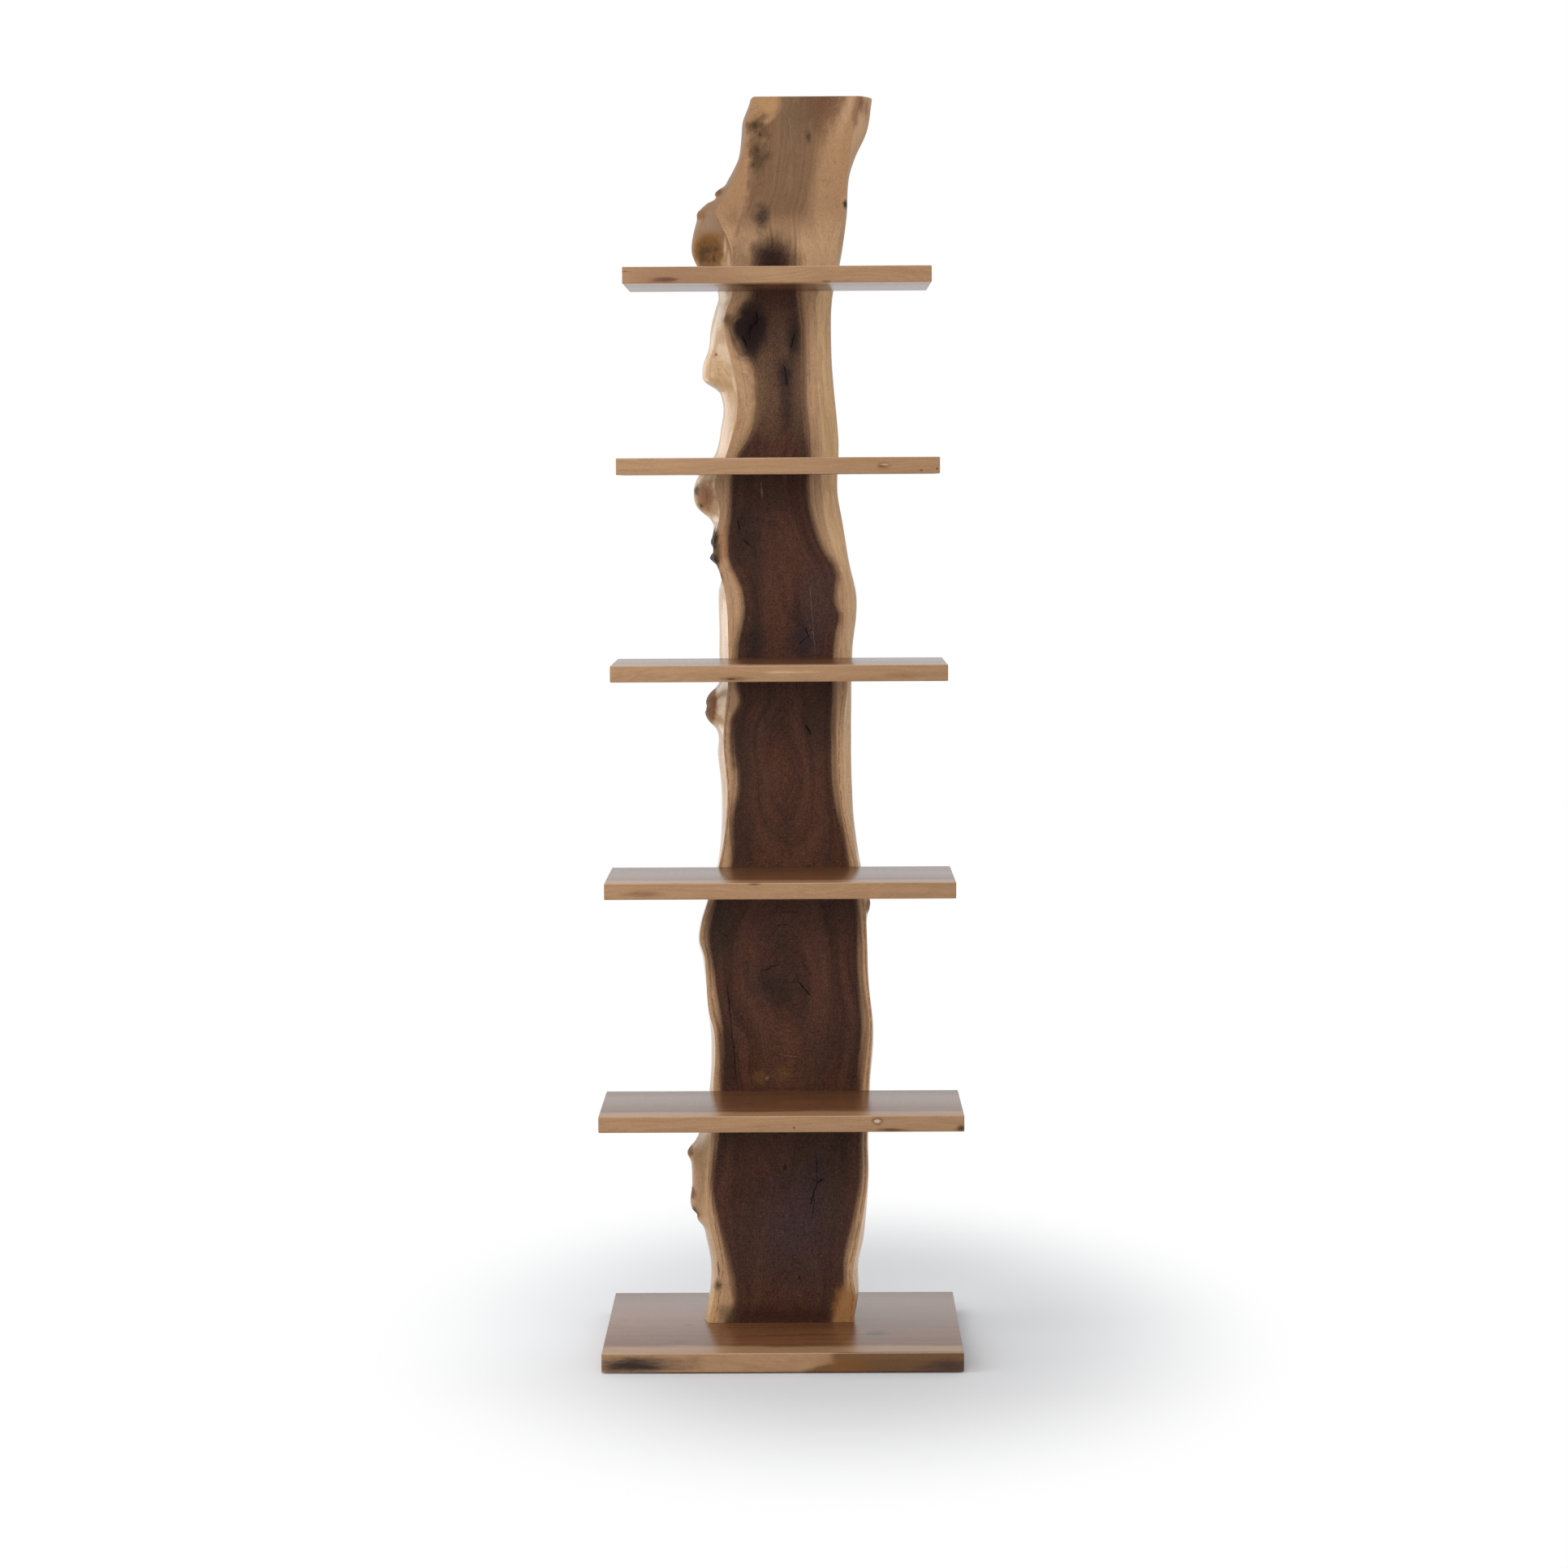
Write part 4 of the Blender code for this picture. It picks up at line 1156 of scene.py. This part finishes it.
# %% Cracks on the points
def crack_points(points, cracks):
    """Return how far aside of the nearest crack each point is, its width there and its light."""
    x, _, z = points.T
    height = z - BASE_TOP
    nearest = np.full(len(x), 1e9)
    aside = np.full(len(x), 1.0)
    width = np.zeros(len(x))
    light = np.zeros(len(x))
    for row in cracks:
        first_x, first_height, second_x, second_height, broad, shade = in_metres(row, 5)
        run = np.array((second_x - first_x, second_height - first_height))
        extent = np.hypot(*run)
        along = ((x - first_x) * run[0] + (height - first_height) * run[1]) / extent ** 2
        off = ((x - first_x) * run[1] - (height - first_height) * run[0]) / extent
        beyond = np.maximum(np.maximum(-along, along - 1), 0) * extent
        distance = np.hypot(off, beyond)
        near = distance < nearest
        nearest[near] = distance[near]
        taper = np.clip(4 * along * (1 - along), 0, 1) ** 0.5
        aside[near] = off[near]
        width[near] = (broad * taper * (1 - soft_step(np.abs(off), 0.007, 0.011)))[near]
        light[near] = shade
    return aside, width, light


for layer, cracks in (("a", SLAB_CRACKS[::2]), ("b", SLAB_CRACKS[1::2])):
    aside, width, light = crack_points(points, cracks)
    marks["crack_aside_" + layer] = aside
    marks["crack_width_" + layer] = width * on_front
    marks["crack_light_" + layer] = light
keep_on_points(slab.data, marks)
print("marks kept on the points:", list(marks))

# %% [markdown]
# Sapwood is pale and heartwood dark, and where they meet the rings let one run a little into
# the other. Round the heart lies a thin olive halo, and inside it the colour goes from a
# greyish rim to a redder middle.



# %% Slab: sapwood and heartwood
def read(name, output="Fac"):
    """Return a value that the mesh keeps on its points."""
    return add("ShaderNodeAttribute", output=output, attribute_name=name)


slab_walnut, slab_shader = new_material("slab_lacquered_walnut")
place = object_place()
x, y, z = axes_of(place)
live = read("live")
burl = read("burl")
cover = read("cover")
inside = read("heart")
rings = (speckle(place, (11, 11, 4), 3.0, 0.55) - 0.5) * 0.045 + read("rings")
bands, lines, pores, mottle = place_group(figure_group, Across=rings, Through=y, Along=z)

ragged = (bands - 0.5) * 3.0 + inside
sap = mix(fade(lines, 0.25, 0.75), SAP_DARK, SAP_LIGHT)
sap = mix(fade(bands, 0.45, 0.7, 0.0, 0.4), sap, SAP_SHADE)
sap = mix(fade(ragged, -1.9, -0.3) * 0.55, sap, HALO_OLIVE)
heart = mix(fade(bands, 0.30, 0.70), HEART_DARK, HEART_MIDDLE)
heart = mix(fade(lines, 0.40, 0.75, 0.0, 0.45), heart, HEART_RED)
smoke = speckle(place, (16, 16, 5), 3.0, 0.6)
heart = mix(fade(smoke, 0.45, 0.65, 0.0, 0.40), heart, HEART_GREY)
heart = mix(fade(inside, 1.0, 4.0, 0.25, 0.0), heart, HEART_GREY)
in_heart = fade(ragged, -1.0, 1.2)
colour = mix(in_heart, sap, heart)
print("nodes so far:", len(net.nodes))

# %% [markdown]
# At the top the dark heart ends, and the wood between the two pale sides is greyer: the
# crown. The live edges show the skin of the tree, and the burls carry a dark, broken crust.
# The skin is painted paler on the right, a painted light where the lamps reach that edge
# less. High up on the left it is painted darker, a painted shade against the strong left lamp.

# %% Slab: crown and skin
in_crown = read("crown")
crown = mix(fade(bands, 0.35, 0.65), CROWN_GREY, CROWN_BROWN)
crown = mix(fade(lines, 0.4, 0.7, 0.0, 0.3), crown, CROWN_TAN)
colour = mix(in_crown * (1.0 - in_heart), colour, crown)
colour = mix(fade(z, 1.90, 1.97) * (1.0 - in_crown) * 0.8, colour, CROWN_TAN)

high_up = fade(z, 1.83, 1.92)
on_right = fade(x, 0.0, 0.05)
# The skin's right colours carry painted light, and its left top colour painted shade.
light, dark, top = [mix(on_right, *pair) for pair in (SKIN_LIGHTS_WITH_PAINTED_LIGHT, SKIN_DARKS_WITH_PAINTED_LIGHT, SKIN_TOPS_WITH_PAINTED_SHADE_AND_LIGHT)]
skin = mix(fade(lines, 0.3, 0.7), dark, light)
skin = mix(high_up * 0.9, skin, top)
skin = mix(fade(bands, 0.50, 0.72, 0.0, 0.35), skin, SKIN_SHADE)
crust = speckle(place, 190, 4.0, 0.65)
torn = (crust - 0.5) * 1.4 + burl
skin = mix(fade(torn, 0.15, 0.70, 0.0, 0.80), skin, BURL_BROWN)
skin = mix(fade(read("hollow"), 0.04, 0.30, 0.0, 0.90), skin, BURL_AMBER)
crust = fade(crust, 0.54, 0.62) * fade(burl, 0.50, 0.85)
skin = mix(crust * 0.7, skin, BURL_DARK)
colour = mix(live, colour, skin)
print("nodes so far:", len(net.nodes))

# %% [markdown]
# A stain first darkens the wood by its cover and then adds its own colour, which was already
# mixed on the points. A knot has a nearly black heart and a brown rim, and one of them is a
# pale scar instead. The cracks are nearly black or a scratched grey. Real marks are never
# clean ovals and lines, so a fine noise frays each of them.

# %% Slab: stains, knots, cracks and specks
fine = speckle(place, 260, 3.0, 0.6)
spots = fade(fine, 0.43, 0.56, 0.94 - high_up * 0.12, 1.0)
# The stain colour also carries the painted arris highlights beside the big burl.
stain = add("ShaderNodeVectorMath", {0: read("stain", "Vector"), 3: spots}, operation="SCALE")
colour = mix(cover * spots, colour, BLACK)
colour = mix(1.0, colour, stain, mode="ADD")

knot = read("knot", "Vector")
darkness = axes_of(knot)[2]
radius = (fine - 0.5) * 1.6 + length(on_vectors("MULTIPLY", knot, (1, 1, 0)))
dark = calc("MAXIMUM", darkness, 0.0)
pale = calc("MAXIMUM", darkness * -1.0, 0.0)
colour = mix(fade(radius, 0.8, 2.2, 0.75, 0.0) * dark, colour, KNOT_BROWN)
colour = mix(fade(radius, 0.2, 1.1, 1.0, 0.0) * dark, colour, KNOT_HEART)
colour = mix(fade(radius, 0.4, 1.2, 1.0, 0.0) * pale, colour, SCRATCH_GREY)

crack_depth = 0.0
for layer in ("a", "b"):
    mask = place_group(crack_group, Place=place, Aside=read("crack_aside_" + layer),
                       Width=read("crack_width_" + layer))
    light = read("crack_light_" + layer)
    colour = mix(mask * (1.0 - light * 0.60), colour, mix(light, NEARLY_BLACK, SCRATCH_GREY))
    crack_depth = calc("MAXIMUM", crack_depth, mask)
specks = place_group(speck_group, Distance=read("speck"), Along=z,
                     Spread=fade(z, 1.84, 1.92, 0.0014, 0.0050))
colour = mix(specks * fade(z, 1.12, 1.34, 1.0, 0.55) * 0.80, colour, SPECK_BROWN)
print("nodes so far:", len(net.nodes))

# %% [markdown]
# Last come the pores, a mottle and a fine grain. Mottle and grain are stronger in the heart
# than in the sapwood, and on the skin of the tree all three are faint or gone. The skin
# shines most on the left edge, and less where it is torn, stained, near the foot or high up.
# Lines, pores, cracks and crust are also a relief.

# %% Slab: grain, gloss and relief
GRAIN_CONTRAST = 2.7
SATIN = (0.34, 0.46)
SKIN_COAT_ROUGHNESS = 0.18
SLAB_RELIEF_DEPTH = 0.0004


def bump(relief, strength, depth):
    """Turn a relief into a normal."""
    return add("ShaderNodeBump", {"Strength": strength, "Distance": depth, "Height": relief}, "Normal")


colour = mix(pores * fade(live, 0.0, 1.0, 0.45, 0.12) * (1.0 - high_up * 0.65), colour, PORE_BROWN)
blotches = (mottle - 0.5) * (in_heart * 0.9 + fade(live, 0.0, 1.0, 0.35, 0.12)) + 1.0
grain = speckle(place, (580, 580, 360), 3.0, 0.75) - 0.5
grain = grain * ((in_heart * 0.75 + 0.30) * GRAIN_CONTRAST) * (1.0 - live) + 1.0
colour = mix(1.0, colour, blotches * grain, mode="MULTIPLY")

rough = fade(mottle, 0.3, 0.7, *SATIN) + live * (high_up * 0.32 - 0.12)
rough = rough + fade(burl, 0.05, 0.50) * 0.30 + crust * 0.25
polish = live * fade(burl, 0.02, 0.30, 1.0, 0.0) * fade(cover, 0.10, 0.80, 1.0, 0.0)
polish = polish * fade(z, 0.42, 0.60, 0.30, 1.0) * (1.0 - high_up * 0.75) * (1.0 - on_right * 0.70)
relief = lines * 0.6 - pores * 0.5 - crack_depth * 3.0
relief = relief * fade(live, 0.0, 1.0, 1.0, 0.15) - crust * 2.0
fill(slab_shader, {
    "Base Color": colour, "Roughness": rough, "Coat Weight": polish, "Coat Roughness": SKIN_COAT_ROUGHNESS,
    "Specular IOR Level": 0.30, "Normal": bump(relief, 0.35, SLAB_RELIEF_DEPTH),
})
dress(slab, slab_walnut)
print("the slab's material has", len(net.nodes), "nodes")

# %% [markdown]
# ## The boards
# Wood that is wrapped round a board like wallpaper has the same lines on every side, and
# gives itself away at the corners. Here each board is sawn from a log that lay along it: its
# rings are circles about a line that runs sideways, somewhere below the board. One rule then
# gives the long flames on the top, the lines on the front and the arcs on the ends. The
# front edge is sapwood, which shows as a cream strip along the top as well.

# %% Shaping a board
EDGE_EASE = 0.0018
EDGE_STEPS = 4
BOARD_SMOOTH_ANGLE = math.radians(40)
BOARD_NAMES = ["shelf_%d_board" % number for number in range(1, 6)] + ["base_board"]


def make_board(name):
    """Make a board in the place of its CAD solid, with softly rounded edges."""
    low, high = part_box(name)
    bm = bmesh.new()
    size = Matrix.Diagonal((*(high - low), 1.0))
    bmesh.ops.create_cube(bm, size=1.0, matrix=Matrix.Translation((low + high) / 2) @ size)
    bmesh.ops.bevel(bm, geom=bm.edges[:], offset=EDGE_EASE, affect="EDGES", segments=EDGE_STEPS,
                    profile=0.5, material=-1)
    return object_from(bm, "walnut_" + name)


def board_drills(name):
    """Return the drills for the inserts, bolts and dowels of a board."""
    low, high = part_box(name)
    bores = bmesh.new()
    recesses = bmesh.new()
    for side in SIDES:
        if name == "base_board":
            bolt = "base_bolt_" + side
            under = low.z - BEYOND
            drill(bores, bolt, Z_AXIS, BOLT_BORE, under, high.z + BEYOND)
            drill(recesses, bolt, Z_AXIS, RECESS_BORE, under, low.z + BASE_RECESS_DEPTH, sides=40)
            drill(bores, "base_dowel_" + side, Z_AXIS, DOWEL_BORE, end=high.z + BEYOND)
        else:
            insert = name.replace("board", "insert_" + side)
            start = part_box(insert)[0].y - INSERT_SPARE
            drill(bores, insert, Y_AXIS, INSERT_BORE, start, high.y + BEYOND)
            drill(bores, name.replace("board", "dowel_" + side), Y_AXIS, DOWEL_BORE, end=high.y + BEYOND)
    return [bm for bm in (bores, recesses) if bm.verts]


boards = {}
for name in BOARD_NAMES:
    board = make_board(name)
    cut_with(board, board_drills(name))
    board.data.shade_smooth()
    board.data.set_sharp_from_angle(angle=BOARD_SMOOTH_ANGLE)
    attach(board, "root")
    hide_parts(name)
    boards[name] = board
print("boards:", {name: len(board.data.polygons) for name, board in boards.items()})

# %% [markdown]
# Each board has marks of its own on its front edge and its top: knots, dark streaks and pale
# flecks. A board's mesh has too few points to carry them, and there are only a few, so each
# one is a patch in the board's net.

# %% Colours and marks of the boards
FRONT_TAN = (168, 131, 97)
FRONT_BROWN = (158, 122, 89)
BOARD_BROWN = (128, 84, 54)
BOARD_DARK = (108, 70, 46)
BOARD_RED = (138, 88, 54)
PAINTED_ARRIS_HIGHLIGHT = (208, 176, 144)
BOARD_MARKS = {
    # x, y from the front, z from the bottom, half sizes, softness, ragged, colour, strength
    "shelf_1_board": (
        # This broad, soft patch darkens the left of the board's front.
        (-170, 0, 12, 110, 10, 40, 0.9, 0.3, (138, 102, 74), 0.6),
        (-184, 0, 6, 20, 6, 4.5, 0.6, 0.5, (104, 66, 52), 0.9),
        (-250, 0, 20, 12, 6, 1.2, 0.6, 0.5, (90, 60, 46), 0.8),
        (80, 0, 2, 8, 4, 2, 0.7, 0.4, (110, 74, 52), 0.6),
    ),
    "shelf_2_board": (
        (174, 0, 13, 12, 10, 6, 0.8, 0.4, (128, 88, 60), 0.75),
        (176, 0, 15, 6, 6, 1.6, 0.6, 0.3, (204, 168, 130), 0.65),
        (170, 0, 12, 6, 6, 1.2, 0.6, 0.3, (92, 60, 40), 0.6),
        (236, 0, 5, 3, 4, 2, 0.6, 0.3, (100, 68, 48), 0.75),
        (262, 0, 8, 2, 4, 2, 0.6, 0.3, (100, 68, 48), 0.75),
    ),
    "shelf_3_board": (
        (-73, 0, 6, 26, 8, 4, 0.8, 0.4, (116, 80, 56), 0.75),
        (-78, 0, 5, 8, 6, 1.4, 0.6, 0.4, (64, 42, 30), 0.85),
        # This broad pale patch lightens the middle of the board's front.
        (18, 0, 16, 40, 6, 2, 0.8, 0.6, (206, 172, 136), 0.6),
        (205, 0, 10, 30, 6, 4, 0.9, 0.4, (146, 106, 76), 0.6),
    ),
    "shelf_4_board": (
        (-225, 0, 10, 30, 8, 6, 0.9, 0.4, (128, 90, 66), 0.7),
        (-43, 0, 26, 12, 10, 2, 0.7, 0.5, (84, 54, 40), 0.85),
        (-284, 250, 27, 6, 8, 10, 0.7, 0.5, (50, 36, 30), 0.85),
    ),
    "shelf_5_board": (
        (160, 0, 18, 10, 12, 6.5, 0.5, 0.3, (92, 64, 46), 0.8),
        (160, 0, 18, 6, 8, 3.6, 0.5, 0.3, (206, 178, 148), 0.9),
        (185, 0, 3, 26, 6, 3, 0.8, 0.5, (78, 52, 38), 0.8),
        (300, 0, 6, 10, 10, 6, 0.8, 0.5, (50, 34, 28), 0.85),
        (21, 0, 8, 2, 3, 2, 0.6, 0.3, (96, 64, 46), 0.8),
        (-35, 0, 10, 20, 6, 2, 0.9, 0.3, (150, 104, 78), 0.5),
    ),
    "base_board": (
        (-242, 0, 13, 90, 12, 14, 0.9, 0.35, (62, 50, 46), 0.9),
        (-262, 0, 12, 50, 12, 10, 0.9, 0.4, (44, 36, 36), 0.7),
        (190, 0, -4, 158, 10, 26, 0.1, 0.06, (108, 77, 51), 0.92),
        (215, 0, 26, 135, 10, 30, 0.1, 0.06, (108, 77, 51), 0.92),
        (105, 0, 10, 45, 12, 18, 0.9, 0.2, (128, 82, 40), 0.6),
        (275, 0, 10, 46, 10, 11, 0.9, 0.6, (68, 54, 50), 0.78),
        (-175, 85, 33, 20, 12, 6, 0.8, 0.6, (52, 38, 32), 0.5),
        (160, 140, 33, 22, 20, 6, 0.8, 0.6, (58, 40, 32), 0.8),
        (158, 138, 33, 14, 5, 6, 0.6, 0.6, (24, 16, 14), 0.95),
        (-165, 205, 33, 8, 6, 6, 0.7, 0.5, (48, 34, 28), 0.7),
    ),
}
RING_CENTRES = {
    # how far below the board and behind its front the middle of its log lies
    "shelf_1_board": (30, 150), "shelf_2_board": (45, 170), "shelf_3_board": (20, 140),
    "shelf_4_board": (35, 180), "shelf_5_board": (25, 130), "base_board": (40, 260),
}
print("marks on the boards:", sum(len(rows) for rows in BOARD_MARKS.values()))


# %% A board's colour
SHELF_STRIP = 0.040
BASE_STRIP = 0.048
STRIP_WAVER = 0.03


def board_colour(name, place, bands, lines):
    """Return a board's colour under its pores, with a painted highlight on its top front edge, and how far
    it is heartwood.
    """
    low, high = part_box(name)
    _, y, z = axes_of(place)
    brown = mix(fade(bands, 0.36, 0.66), BOARD_DARK, BOARD_BROWN)
    brown = mix(fade(lines, 0.45, 0.7, 0.0, 0.35), brown, BOARD_RED)
    cream = mix(fade(lines, 0.35, 0.65), FRONT_BROWN, FRONT_TAN)
    cream = mix(fade(bands, 0.5, 0.72, 0.0, 0.4), cream, FRONT_BROWN)
    strip = BASE_STRIP if name == "base_board" else SHELF_STRIP
    edge = (speckle(place, (9, 20, 20), 3.0, 0.6) - 0.5) * STRIP_WAVER + (y - low.y)
    in_heart = fade(edge, strip - 0.010, strip + 0.014)
    colour = mix(in_heart, cream, brown)
    for row in BOARD_MARKS[name]:
        mark_x, depth, rise, *reach, softness, ragged, stain, strength = in_metres(row, 6)
        centre = (mark_x, low.y + depth, low.z + rise)
        mask = place_group(patch_group, Place=place, Centre=centre, Reach=reach,
                           Softness=softness, Ragged=ragged)
        colour = mix(mask * strength, colour, stain)
    # A thin pale line along the top front edge is a painted highlight on the rounded arris.
    arris_highlight = fade(y, low.y + 0.0008, low.y + 0.0030, 1.0, 0.0) * fade(z, high.z - 0.0020, high.z - 0.0006)
    return mix(arris_highlight * 0.4, colour, PAINTED_ARRIS_HIGHLIGHT), in_heart


print("the cream strips are", SHELF_STRIP, "and", BASE_STRIP, "m deep")

# %% Board materials
RING_WARP = 0.050
GLOSSY = (0.22, 0.26)
BOARD_RELIEF_DEPTH = 0.0002


def board_material(name):
    """Make a board's lacquered walnut, with its own rings and marks."""
    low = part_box(name)[0]
    below, behind = in_metres(RING_CENTRES[name], 2)
    material, shader = new_material("lacquered_" + name)
    place = object_place()
    x, y, z = axes_of(place)
    up = z - (low.z - below)
    back = y - (low.y + behind)
    warp = (speckle(place, (3.2, 9, 9), 2.0, 0.5) - 0.5) * RING_WARP
    rings = calc("SQRT", up * up + back * back) + warp
    bands, lines, pores, mottle = place_group(figure_group, Across=rings, Through=z, Along=x)
    colour, in_heart = board_colour(name, place, bands, lines)
    colour = mix(pores * fade(in_heart, 0.0, 1.0, 0.16, 0.35), colour, PORE_BROWN)
    fill(shader, {
        "Base Color": mix(1.0, colour, fade(mottle, 0.3, 0.7, 0.93, 1.07), mode="MULTIPLY"),
        "Roughness": fade(mottle, 0.3, 0.7, *GLOSSY), "Specular IOR Level": 0.5,
        "Normal": bump(lines * 0.5 - pores * 0.5, 0.10, BOARD_RELIEF_DEPTH),
    })
    return material


for name, board in boards.items():
    dress(board, board_material(name))
print("board materials:", len(boards))

# %% [markdown]
# ## Fasteners and feet
# The fasteners of the frame stay as they are and get their own finishes. Each shelf is held
# by two black bolts that come through the slab into brass inserts, beside two beech dowels.
# The slab stands on the base with two more bolts, which run up into zinc barrel nuts. Metal
# is never even, so a fine noise moves its colour and its roughness, and the inserts carry
# faint rings across their axis. Felt is a soft noise with a sheen of loose fibres.

# %% Finishes of the fasteners and feet
FINISHES = {
    # dark, light, metallic, roughness from and to, scale of the noise, depth of the relief
    "black_steel": ((30, 30, 32), (52, 52, 54), 0.9, 0.42, 0.58, (420, 420, 420), 0.00004),
    "zinc_steel": ((150, 153, 156), (186, 189, 192), 1.0, 0.26, 0.44, (160, 160, 160), 0.00002),
    "brass": ((168, 130, 62), (206, 170, 96), 1.0, 0.28, 0.42, (240, 900, 240), 0.00003),
    "beech": ((190, 150, 108), (218, 184, 142), 0.0, 0.55, 0.68, (700, 90, 700), 0.00010),
    "felt": ((46, 40, 36), (74, 66, 60), 0.0, 0.92, 1.00, (900, 900, 900), 0.00030),
}
FINISH_OF = {"bolt": "black_steel", "washer": "zinc_steel", "barrel_nut": "zinc_steel",
             "insert": "brass", "dowel": "beech", "foot": "felt"}


def finish_material(name):
    """Make the material of a fastener, a dowel or a foot."""
    dark, light, metallic, smooth, coarse, scale, depth = FINISHES[name]
    material, shader = new_material("finish_" + name)
    place = object_place()
    fine = speckle(place, scale, 4.0, 0.65)
    share = (speckle(place, 60, 2.0, 0.5) - 0.5) * 0.8 + fine
    fill(shader, {
        "Base Color": mix(fade(share, 0.30, 0.70), dark, light), "Metallic": metallic,
        "Roughness": fade(fine, 0.30, 0.70, smooth, coarse), "Normal": bump(fine, 0.5, depth),
    })
    if name == "felt":
        fill(shader, {"Sheen Weight": 0.4, "Sheen Roughness": 0.6})
    return material


finishes = {name: finish_material(name) for name in FINISHES}
dressed = 0
for name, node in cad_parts.items():
    kinds = [kind for kind in FINISH_OF if kind in name]
    if kinds:
        dress(node, finishes[FINISH_OF[kinds[0]]])
        dressed += 1
print("fasteners and feet dressed:", dressed)
